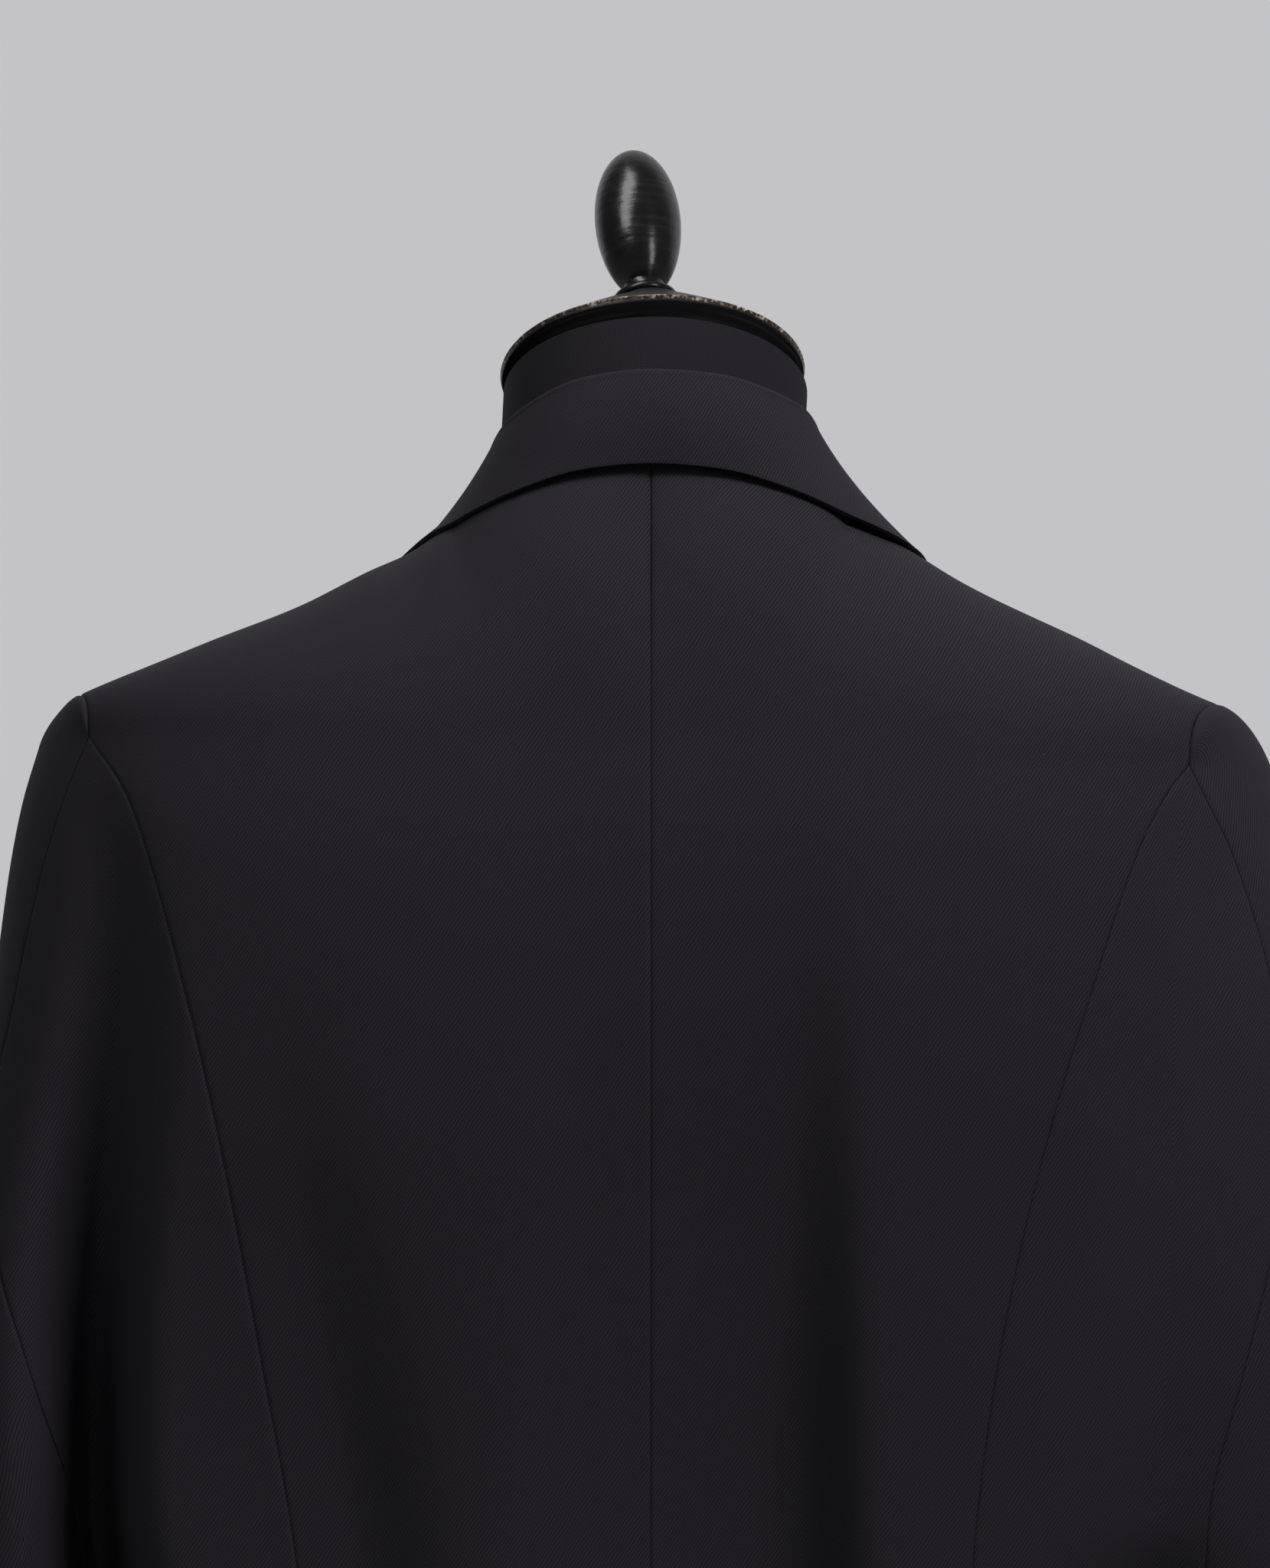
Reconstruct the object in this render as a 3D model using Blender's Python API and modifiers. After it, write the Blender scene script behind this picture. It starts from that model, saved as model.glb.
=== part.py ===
"""A blazer worn by a limbless dress form on a stand. Metres, +Z up.

The blazer's back faces +Y and its front faces -Y, so its own left is at +X.
Each cut piece of cloth is one closed wall. The pieces share one outer surface,
which is worked out from the section tables below, so they meet edge to edge
with a small gap at every seam. The side panel of each half is cut in one with
the under sleeve: its tip starts high on the back, and it passes under the arm.
"""

import math

import bmesh
import bpy
from mathutils import Matrix, Vector
from mathutils.bvhtree import BVHTree

# Cloth
WALL = 0.0018
SEAM_GAP = 0.0003
LAY_GAP = 0.0007

# Levels above the floor. The hem and the cuffs give the back its length of 0.72 m.
YOKE_Z = 1.348
HEM_Z = 0.735
CUFF_Z = 0.785
BREAK_Z = 1.085
BUTTON_Z = 1.068
NAPE_Z = 1.463
NECK_POINT_Z = 1.4365

# Neck opening of the blazer
NECK_POINT_X = 0.077
NAPE_Y = 0.066
RIDGE_Y = 0.006
FRONT_OVERLAP = 0.018

# Shoulder line, from the neck to the sleeve: distance from the centre and height
RIDGE_COLUMNS = ("x", "z")
RIDGE = (
    (0.000, 1.5000),
    (0.050, 1.4560),
    (0.077, 1.4365),
    (0.093, 1.4245),
    (0.110, 1.4175),
    (0.137, 1.4043),
    (0.171, 1.3906),
    (0.224, 1.3672),
)

# Shoulder tip, where the armhole seam crosses the shoulder line
LEFT_TIP = (0.2232, 0.002, 1.3672)
RIGHT_TIP = (-0.2245, 0.002, 1.3622)

# How the shoulder is drawn: share of each span that its curve's handles reach, lean
# of the back and front sections where the shoulder begins, and how far the back
# reaches over the shoulder line to the seam in front of it
HANDLE = 0.42
BACK_LEAN = -0.10
FRONT_LEAN = 0.12
SEAM_SHARE = 0.16
CAP_HANDLE = 0.50
CAP_ROWS = 3

# Depth of the whole garment in front of and behind its middle, and of the sleeves
DEPTH_COLUMNS = ("z", "back", "front", "sleeve_back", "sleeve_front", "sleeve_y")
DEPTH = (
    (1.348, 0.0980, 0.1050, 0.0980, 0.1050, 0.000),
    (1.300, 0.1040, 0.1170, 0.1000, 0.1050, 0.001),
    (1.250, 0.1055, 0.1230, 0.1010, 0.1040, 0.003),
    (1.200, 0.1045, 0.1240, 0.1015, 0.1030, 0.004),
    (1.150, 0.1020, 0.1220, 0.1015, 0.1020, 0.005),
    (1.050, 0.0990, 0.1170, 0.1010, 0.1010, 0.002),
    (0.985, 0.0990, 0.1170, 0.1000, 0.1000, -0.003),
    (0.920, 0.1020, 0.1190, 0.0980, 0.0980, -0.012),
    (0.860, 0.1060, 0.1220, 0.0920, 0.0920, -0.024),
    (0.785, 0.1105, 0.1255, 0.0820, 0.0820, -0.042),
    (0.735, 0.1130, 0.1270, 0.0800, 0.0800, -0.050),
)

# Seam lines and the fold under the arm, a row for each level. All but z are
# distances from the centre line. "open" is how much of the depth is left at the
# bottom of the fold behind the arm, "front_open" the same in front, "near" and
# "far" are the fold's widths towards the body and towards the sleeve, and
# "body_gap" and "sleeve_gap" part body and sleeve from the fold's line.
SIDE_COLUMNS = (
    "z", "outer", "princess", "hindarm", "forearm", "front_seam",
    "fold", "open", "front_open", "near", "far", "body_gap", "sleeve_gap",
)
LEFT_SIDE = (
    (1.348, 0.2398, 0.2163, 0.2163, 0.2163, 0.2163, 0.2163, 0.999, 0.999, 0.012, 0.018, 0.000, 0.000),
    (1.325, 0.2464, 0.2005, 0.2258, 0.2245, 0.2020, 0.2120, 0.970, 0.980, 0.012, 0.018, 0.000, 0.000),
    (1.300, 0.2510, 0.1911, 0.2337, 0.2310, 0.1925, 0.2060, 0.920, 0.930, 0.012, 0.018, 0.000, 0.000),
    (1.250, 0.2573, 0.1769, 0.2450, 0.2385, 0.1790, 0.2035, 0.800, 0.850, 0.014, 0.022, 0.000, 0.000),
    (1.200, 0.2650, 0.1650, 0.2535, 0.2420, 0.1700, 0.2050, 0.660, 0.760, 0.013, 0.022, 0.000, 0.000),
    (1.150, 0.2740, 0.1550, 0.2500, 0.2420, 0.1640, 0.2080, 0.520, 0.660, 0.012, 0.018, 0.000, 0.000),
    (1.100, 0.2825, 0.1457, 0.2348, 0.2400, 0.1600, 0.2105, 0.390, 0.540, 0.012, 0.015, 0.000, 0.000),
    (1.050, 0.2885, 0.1365, 0.2213, 0.2370, 0.1575, 0.2115, 0.270, 0.400, 0.013, 0.014, 0.000, 0.000),
    (0.985, 0.2930, 0.1275, 0.2160, 0.2350, 0.1555, 0.2070, 0.000, 0.000, 0.024, 0.020, 0.000, 0.000),
    (0.950, 0.2955, 0.1235, 0.2255, 0.2370, 0.1550, 0.2075, 0.000, 0.000, 0.036, 0.028, 0.006, 0.010),
    (0.915, 0.2980, 0.1210, 0.2335, 0.2410, 0.1550, 0.2090, 0.000, 0.000, 0.045, 0.030, 0.009, 0.014),
    (0.860, 0.3005, 0.1190, 0.2430, 0.2480, 0.1560, 0.2115, 0.000, 0.000, 0.045, 0.030, 0.011, 0.018),
    (0.785, 0.3030, 0.1192, 0.2530, 0.2560, 0.1585, 0.2150, 0.000, 0.000, 0.045, 0.030, 0.012, 0.022),
    (0.735, 0.3030, 0.1205, 0.2560, 0.2600, 0.1600, 0.2170, 0.000, 0.000, 0.045, 0.030, 0.012, 0.024),
)
RIGHT_SIDE = (
    (1.336, 0.2450, 0.2062, 0.2062, 0.2062, 0.2062, 0.2062, 0.999, 0.999, 0.020, 0.020, 0.000, 0.000),
    (1.322, 0.2500, 0.1955, 0.2132, 0.2120, 0.1975, 0.2040, 0.998, 0.985, 0.020, 0.020, 0.000, 0.000),
    (1.300, 0.2570, 0.1845, 0.2237, 0.2215, 0.1870, 0.2010, 0.990, 0.960, 0.020, 0.020, 0.000, 0.000),
    (1.250, 0.2715, 0.1671, 0.2378, 0.2345, 0.1740, 0.1985, 0.970, 0.930, 0.020, 0.020, 0.000, 0.000),
    (1.200, 0.2830, 0.1515, 0.2440, 0.2410, 0.1650, 0.1975, 0.960, 0.890, 0.020, 0.022, 0.000, 0.000),
    (1.150, 0.2915, 0.1387, 0.2357, 0.2400, 0.1600, 0.1960, 0.950, 0.840, 0.020, 0.024, 0.000, 0.000),
    (1.100, 0.2975, 0.1290, 0.2228, 0.2350, 0.1570, 0.1940, 0.935, 0.760, 0.022, 0.026, 0.000, 0.000),
    (1.050, 0.3005, 0.1222, 0.2104, 0.2300, 0.1550, 0.1920, 0.880, 0.640, 0.026, 0.028, 0.000, 0.000),
    (1.010, 0.3020, 0.1190, 0.2085, 0.2270, 0.1545, 0.1905, 0.680, 0.450, 0.032, 0.029, 0.000, 0.000),
    (0.965, 0.3028, 0.1170, 0.2110, 0.2260, 0.1540, 0.1900, 0.000, 0.000, 0.040, 0.030, 0.000, 0.000),
    (0.930, 0.3030, 0.1165, 0.2185, 0.2300, 0.1542, 0.1935, 0.000, 0.000, 0.045, 0.030, 0.006, 0.010),
    (0.895, 0.3030, 0.1165, 0.2290, 0.2365, 0.1550, 0.1985, 0.000, 0.000, 0.045, 0.030, 0.009, 0.014),
    (0.860, 0.3030, 0.1170, 0.2390, 0.2430, 0.1560, 0.2040, 0.000, 0.000, 0.045, 0.030, 0.011, 0.018),
    (0.785, 0.3030, 0.1185, 0.2530, 0.2560, 0.1585, 0.2125, 0.000, 0.000, 0.045, 0.030, 0.012, 0.022),
    (0.735, 0.3030, 0.1205, 0.2560, 0.2600, 0.1600, 0.2170, 0.000, 0.000, 0.045, 0.030, 0.012, 0.024),
)

# Hanging folds: x is signed, "inner" and "outer" are the half widths towards and
# away from the centre line, and "face" is 1 on the back and -1 on the front.
FOLD_COLUMNS = ("face", "x_top", "x_low", "z_top", "z_full", "depth", "inner", "outer")
HANGING_FOLDS = (
    (1, -0.066, -0.073, 1.335, 1.080, 0.0125, 0.030, 0.015),
    (1, 0.120, 0.088, 1.320, 1.120, 0.0070, 0.030, 0.026),
    (1, 0.026, 0.024, 1.330, 1.220, 0.0025, 0.020, 0.020),
    (-1, 0.105, 0.095, 1.230, 0.980, 0.0060, 0.026, 0.024),
    (-1, -0.110, -0.098, 1.240, 0.990, 0.0070, 0.024, 0.028),
)

# Half of the stretch over which the body's depth passes into the sleeve's
BLEND = 0.035

# Facets: segments across each stretch of a section, and rows down the body
NECK_SEGMENTS = 4
SHOULDER_SEGMENTS = 7
ARMHOLE_SEGMENTS = 5
BODY_ROWS = 10
LEAF_BODY_SEGMENTS = 4
LEAF_SLEEVE_SEGMENTS = 3

# Collar, half of it from the centre back to its front end. Each row is a station
# with a point of the roll and one of the falling edge. COLLAR_SIDE is the share of
# the stations that reaches the neck point of the shoulder.
COLLAR_COLUMNS = ("roll_x", "roll_y", "roll_z", "edge_x", "edge_y", "edge_z")
COLLAR = (
    (0.0000, 0.0672, 1.4870, 0.0000, 0.0900, 1.4492),
    (0.0255, 0.0630, 1.4852, 0.0300, 0.0865, 1.4470),
    (0.0455, 0.0490, 1.4805, 0.0570, 0.0720, 1.4400),
    (0.0585, 0.0270, 1.4750, 0.0800, 0.0460, 1.4325),
    (0.0628, 0.0040, 1.4665, 0.0955, 0.0100, 1.4268),
    (0.0661, -0.0280, 1.4520, 0.1080, -0.0250, 1.4165),
    (0.0643, -0.0580, 1.4345, 0.1160, -0.0540, 1.4040),
    (0.0594, -0.0810, 1.4135, 0.1190, -0.0780, 1.3850),
)
COLLAR_SIDE = 4 / 7
COLLAR_STEPS = 14
STAND_STEPS = 3
FALL_STEPS = 5
ROLL_RADIUS = 0.0026
COLLAR_RISE = 0.0006
FRONT_RISE = 0.0012
FALL_BOW = 0.0030
NOTCH = 0.018

# Lapel: how far its edge stands from the roll line at each level
LAPEL_COLUMNS = ("t", "width")
LAPEL = ((0.00, 0.000), (0.20, 0.026), (0.45, 0.050), (0.75, 0.072), (1.00, 0.088))
LAPEL_ROWS = 14
LAPEL_ACROSS = 6
GORGE_Z = 1.404
GORGE_X = 0.0614
GORGE_GAP = 0.0014
GORGE_RISE = 0.0050
LAPEL_INSET = 0.0016
LAPEL_POINT_Z = 1.342
LAPEL_LIFT = 0.0022
LAPEL_STACK = 0.0052
LAPEL_LAY = 0.0021

# Dress form
FORM_SEGMENTS = 28
FORM_COLUMNS = ("z", "half_width", "back", "front", "y", "power")
FORM = (
    (0.800, 0.1420, 0.0850, 0.0850, 0.000, 2.3),
    (0.808, 0.1520, 0.0870, 0.0920, 0.000, 2.3),
    (0.880, 0.1620, 0.0860, 0.0960, 0.000, 2.2),
    (0.960, 0.1500, 0.0800, 0.0920, 0.000, 2.2),
    (1.050, 0.1300, 0.0740, 0.0850, 0.000, 2.3),
    (1.140, 0.1400, 0.0790, 0.0960, 0.000, 2.3),
    (1.220, 0.1560, 0.0870, 0.1080, 0.000, 2.3),
    (1.280, 0.1640, 0.0910, 0.1070, 0.000, 2.3),
    (1.330, 0.1700, 0.0860, 0.0900, 0.000, 2.2),
    (1.3612, 0.1740, 0.0760, 0.0700, 0.002, 2.0),
    (1.3794, 0.1700, 0.0690, 0.0560, 0.003, 1.9),
    (1.3916, 0.1590, 0.0660, 0.0500, 0.004, 1.8),
    (1.4016, 0.1370, 0.0640, 0.0480, 0.005, 1.8),
    (1.4126, 0.1120, 0.0620, 0.0480, 0.005, 1.8),
    (1.4236, 0.0860, 0.0595, 0.0510, 0.005, 1.9),
    (1.432, 0.0680, 0.0575, 0.0540, 0.003, 2.0),
    (1.445, 0.0600, 0.0550, 0.0560, 0.000, 2.0),
)
NECK_RADIUS = 0.0585
NECK_STEPS = 4

# Turned cap and finial on top of the neck
CAP_TILT = math.radians(23.0)
CAP_RADIUS = 0.0593
CAP_EDGE_Y = -0.0205
CAP_EDGE_Z = 1.4985
CAP_SIDE = 0.0095
DOME_HEIGHT = 0.0330
FLANGE_RADIUS = 0.0132
FLANGE_THICK = 0.0028
FINIAL_NECK_RADIUS = 0.0085
FINIAL_RADIUS = 0.0171
FINIAL_LOW = 0.0365
FINIAL_HIGH = 0.0315
FINIAL_SHIFT = 0.0027
FINIAL_LEAN = math.radians(3.2)
CAP_SEGMENTS = 40
FINIAL_SEGMENTS = 28

# Stand
POLE_RADIUS = 0.014
BASE_RADIUS = 0.185
BASE_HEIGHT = 0.046
SOCKET_RADIUS = 0.030
SOCKET_DROP = 0.045
STAND_SEGMENTS = 36

# Button
BUTTON_RADIUS = 0.0100
BUTTON_THICK = 0.0036

def clear_scene():
    """Remove every object, so that the model starts from nothing."""
    for item in list(bpy.data.objects):
        bpy.data.objects.remove(item, do_unlink=True)


def make_material(name, colour, roughness, metallic=0.0):
    """A plain Principled material."""
    material = bpy.data.materials.new(name)
    material.use_nodes = True
    shader = material.node_tree.nodes["Principled BSDF"]
    shader.inputs["Base Color"].default_value = (*colour, 1.0)
    shader.inputs["Roughness"].default_value = roughness
    shader.inputs["Metallic"].default_value = metallic
    return material


def read_row(columns, table, name, at):
    """Value of a named column where the table's first column is `at`, on a smooth curve."""
    rows = sorted(table)
    keys = [row[0] for row in rows]
    values = [row[columns.index(name)] for row in rows]
    if at <= keys[0]:
        return values[0]
    if at >= keys[-1]:
        return values[-1]
    low = max(i for i, key in enumerate(keys) if key <= at)
    low = min(low, len(keys) - 2)

    def rate(i):
        """Limited slope of the curve at row i."""
        if i in (0, len(keys) - 1):
            j = 0 if i == 0 else i - 1
            return (values[j + 1] - values[j]) / (keys[j + 1] - keys[j])
        before = (values[i] - values[i - 1]) / (keys[i] - keys[i - 1])
        after = (values[i + 1] - values[i]) / (keys[i + 1] - keys[i])
        if before * after <= 0.0:
            return 0.0
        return 2.0 * before * after / (before + after)

    span = keys[low + 1] - keys[low]
    t = (at - keys[low]) / span
    h00 = 2 * t**3 - 3 * t**2 + 1
    h10 = t**3 - 2 * t**2 + t
    h01 = -2 * t**3 + 3 * t**2
    h11 = t**3 - t**2
    return (
        h00 * values[low] + h10 * span * rate(low)
        + h01 * values[low + 1] + h11 * span * rate(low + 1)
    )


def smooth_step(low, high, value):
    """0 below low, 1 above high and an eased ramp between them."""
    t = min(max((value - low) / (high - low), 0.0), 1.0)
    return t * t * (3.0 - 2.0 * t)


class Side:
    """One half of the garment: its sign in X, its table and its levels."""

    def __init__(self, name, sign, table, armpit_z, tip):
        self.name = name
        self.sign = sign
        self.table = table
        self.armpit_z = armpit_z
        self.tip = Vector(tip)
        self.tip_z = max(row[0] for row in table)

    def at(self, column, z):
        """A seam or fold value of this half at height z."""
        return read_row(SIDE_COLUMNS, self.table, column, z)

    def pinch(self, x, z, face):
        """Share of the depth that the fold under the arm leaves at distance x."""
        fold = self.at("fold", z)
        inside = x < fold
        width = self.at("near" if inside else "far", z)
        reach = (x - fold) / width
        if z >= self.armpit_z:
            left = min(self.at("open" if face > 0 else "front_open", z), 0.999)
            power = reach * reach - math.log(1.0 - left * left)
        else:
            edge = self.at("body_gap" if inside else "sleeve_gap", z) / width
            power = reach * reach - edge * edge
        return math.sqrt(max(1.0 - math.exp(-max(power, 0.0)), 0.0))

    def depth(self, x, z, face):
        """Y of the outer surface at distance x and height z, on the back (1) or front (-1)."""
        outer = self.at("outer", z)
        share = math.sqrt(max(1.0 - min(x / outer, 1.0) ** 4, 0.0))
        fold = self.at("fold", z)
        blend = smooth_step(fold - BLEND, fold + BLEND, x)
        side = "back" if face > 0 else "front"
        body = read_row(DEPTH_COLUMNS, DEPTH, side, z)
        sleeve = read_row(DEPTH_COLUMNS, DEPTH, "sleeve_" + side, z)
        middle = blend * read_row(DEPTH_COLUMNS, DEPTH, "sleeve_y", z)
        reach = (body + (sleeve - body) * blend) * share * self.pinch(x, z, face)
        return middle + face * (reach - self.hanging(x, z, face))

    def hanging(self, x, z, face):
        """How far the hanging folds pull the surface in."""
        total = 0.0
        for row in HANGING_FOLDS:
            fold = dict(zip(FOLD_COLUMNS, row))
            if fold["face"] != face:
                continue
            ramp = smooth_step(0.0, fold["z_top"] - fold["z_full"], fold["z_top"] - z)
            centre = fold["x_top"] + (fold["x_low"] - fold["x_top"]) * ramp
            offset = self.sign * x - centre
            away = offset * math.copysign(1.0, centre) > 0.0
            width = fold["outer"] if away else fold["inner"]
            total += ramp * fold["depth"] * math.exp(-((offset / width) ** 2))
        return total

    def body_edge(self, z):
        """Distance of the body's side from the centre, under the arm."""
        return self.at("fold", z) - self.at("body_gap", z)

    def sleeve_edge(self, z):
        """Distance of the sleeve's inner side from the centre, under the arm."""
        return self.at("fold", z) + self.at("sleeve_gap", z)


LEFT = Side("left", 1.0, LEFT_SIDE, 0.985, LEFT_TIP)
RIGHT = Side("right", -1.0, RIGHT_SIDE, 0.965, RIGHT_TIP)


def levels(side):
    """Heights of the sections of one half, from the tip of the side panel to the hem."""
    above = [side.tip_z - d for d in (0.0, 0.013, 0.030, 0.060)]
    top = above[-1]
    bottom = side.armpit_z + 0.010
    for i in range(1, BODY_ROWS + 1):
        above.append(top + (bottom - top) * (1.0 - (1.0 - i / BODY_ROWS) ** 1.25))
    below = [side.armpit_z, side.armpit_z - 0.010, side.armpit_z - 0.030]
    step = (below[-1] - CUFF_Z) / 4
    below += [below[-1] - step * (i + 1) for i in range(4)]
    return above + below + [HEM_Z]


class Shell:
    """The garment's outer surface: shared points, and faces sorted by piece."""

    def __init__(self):
        self.points = []
        self.index = {}
        self.faces = {}

    def point(self, co):
        """Number of the point at co, made when it is new."""
        key = tuple(round(c * 200000.0) for c in co)
        if key not in self.index:
            self.index[key] = len(self.points)
            self.points.append(Vector(co))
        return self.index[key]

    def face(self, piece, corners, flip):
        """Add one face, without the corners that fall together."""
        kept = []
        for corner in corners:
            if corner not in kept:
                kept.append(corner)
        if len(kept) < 3:
            return
        if flip:
            kept.reverse()
        self.faces.setdefault(piece, []).append(kept)

    def patch(self, grid, piece_of, flip):
        """Faces between the rows of a grid; piece_of names the piece of a row and column."""
        rows = [[self.point(co) for co in row] for row in grid]
        for r in range(len(rows) - 1):
            for c in range(len(rows[r]) - 1):
                corners = [rows[r][c], rows[r][c + 1], rows[r + 1][c + 1], rows[r + 1][c]]
                self.face(piece_of(r, c), corners, flip)

    def normals(self):
        """Outward direction at every point, from all pieces together."""
        sums = [Vector() for _ in self.points]
        for faces in self.faces.values():
            for face in faces:
                area = Vector()
                for i in range(1, len(face) - 1):
                    a = self.points[face[0]]
                    b = self.points[face[i]]
                    c = self.points[face[i + 1]]
                    area += (b - a).cross(c - a)
                for corner in face:
                    sums[corner] += area.normalized()
        return [total.normalized() for total in sums]


def bezier(a, b, c, d, t):
    """Point of a cubic curve."""
    s = 1.0 - t
    return a * s**3 + b * (3 * s * s * t) + c * (3 * s * t * t) + d * t**3


def ridge_z(x):
    """Height of the shoulder line."""
    return read_row(RIDGE_COLUMNS, RIDGE, "z", x)


def shoulder_points(side):
    """Points along the neck and shoulder line, with the direction of the cloth there."""
    out = []
    for i in range(NECK_SEGMENTS):
        angle = 0.5 * math.pi * i / NECK_SEGMENTS
        x = NECK_POINT_X * math.sin(angle)
        y = RIDGE_Y + (NAPE_Y - RIDGE_Y) * math.cos(angle)
        z = NECK_POINT_Z + (NAPE_Z - NECK_POINT_Z) * math.cos(angle) ** 1.3
        rise = Vector((0.0, -math.sin(angle) - 0.30 * math.cos(angle), math.cos(angle)))
        out.append((Vector((side.sign * x, y, z)), rise.normalized()))
    tip = side.tip
    for i in range(SHOULDER_SEGMENTS + 1):
        t = i / SHOULDER_SEGMENTS
        x = NECK_POINT_X + (abs(tip.x) - NECK_POINT_X) * t
        y = RIDGE_Y + (tip.y - RIDGE_Y) * t
        drop = (tip.z - ridge_z(abs(tip.x))) * smooth_step(0.6, 1.0, t)
        out.append((Vector((side.sign * x, y, ridge_z(x) + drop)), Vector((0.0, -1.0, 0.0))))
    return out


def roll_x(z):
    """Distance of the front's free edge from the centre: the roll line, then the overlap."""
    t = (z - BREAK_Z) / (NECK_POINT_Z - BREAK_Z)
    return -FRONT_OVERLAP + (NECK_POINT_X + FRONT_OVERLAP) * min(max(t, 0.0), 1.0)


def front_lay(side, x, z):
    """The left front lies over the right one and its lapel, so it stands out near the centre."""
    if side.sign < 0:
        return 0.0
    over_front = (WALL + 2.0 * LAY_GAP) * (1.0 - smooth_step(BREAK_Z + 0.10, BREAK_Z + 0.20, z))
    low = smooth_step(BREAK_Z - 0.05, BREAK_Z, z)
    over_lapel = LAPEL_STACK * low * (1.0 - smooth_step(BREAK_Z + 0.09, BREAK_Z + 0.16, z))
    return (over_front + over_lapel) * (1.0 - smooth_step(0.030, 0.090, x))


def back_row(side, z, tip_row):
    """Points of a section from the centre back to the side-back seam."""
    count = NECK_SEGMENTS + SHOULDER_SEGMENTS
    seam = side.at("princess", z)
    out = []
    for i in range(count + 1):
        s = i / count
        level = z + (YOKE_Z - z) * (1.0 - s * s) if tip_row else z
        x = seam * s
        out.append(Vector((side.sign * x, side.depth(x, level, 1), level)))
    return out


def front_row(side, z, tip_row):
    """Points of a section from the front's free edge to the side-front seam."""
    seam = side.at("front_seam", z)
    out = []
    for i in range(SHOULDER_SEGMENTS + 1):
        s = i / SHOULDER_SEGMENTS
        level = z + (YOKE_Z - z) * (1.0 - s * s) if tip_row else z
        edge = roll_x(level)
        x = edge + (seam - edge) * s
        y = side.depth(abs(x), level, -1) - front_lay(side, x, level)
        out.append(Vector((side.sign * x, y, level)))
    return out


def eased(t, bunch):
    """Spread of columns that gathers them at the end where the surface turns."""
    return t + (math.sin(0.5 * math.pi * t) - t) * bunch


def strip(side, z, start, end, segments, face, bunch):
    """Points of a section from distance start to distance end on one face."""
    out = []
    for i in range(segments + 1):
        x = start + (end - start) * eased(i / segments, bunch)
        out.append(Vector((side.sign * x, side.depth(x, z, face), z)))
    return out


def build_half(shell, side):
    """Add one half of the garment to the shell; gives its neck edge."""
    heights = levels(side)
    flip = side.sign < 0
    name = side.name
    cuff = len(heights) - 2
    back = "back_" + name
    front = "front_" + name
    panel = "side_undersleeve_" + name
    sleeve = "upper_sleeve_" + name

    backs = [back_row(side, z, i == 0) for i, z in enumerate(heights)]
    fronts = [front_row(side, z, i == 0) for i, z in enumerate(heights)]
    shell.patch(backs, lambda r, c: back, flip)
    shell.patch(fronts, lambda r, c: front, not flip)

    leaf_rows = {1: [], -1: []}
    arm_rows = {1: [], -1: []}
    tube_rows = {1: [], -1: []}
    for z in heights:
        under = z <= side.armpit_z
        bunch = 1.0 if under else 0.35 + 0.65 * (1.0 - smooth_step(0.02, 0.14, z - side.armpit_z))
        body_end = side.body_edge(z)
        arm_end = side.sleeve_edge(z)
        for face, near, far in ((1, "princess", "hindarm"), (-1, "front_seam", "forearm")):
            leaf_rows[face].append(
                strip(side, z, side.at(near, z), body_end, LEAF_BODY_SEGMENTS, face, bunch)
            )
            arm_rows[face].append(
                strip(side, z, side.at(far, z), arm_end, LEAF_SLEEVE_SEGMENTS, face, bunch)
            )
            tube_rows[face].append(
                strip(side, z, side.at(far, z), side.at("outer", z), ARMHOLE_SEGMENTS, face, 1.0)
            )
    for face in (1, -1):
        turn = (face > 0) == flip
        shell.patch(leaf_rows[face], lambda r, c: panel, turn)
        shell.patch(arm_rows[face][: cuff + 1], lambda r, c: panel, not turn)
        shell.patch(tube_rows[face][: cuff + 1], lambda r, c: sleeve, turn)

    return build_yoke(shell, side, backs[0], fronts[0], tube_rows)


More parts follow.
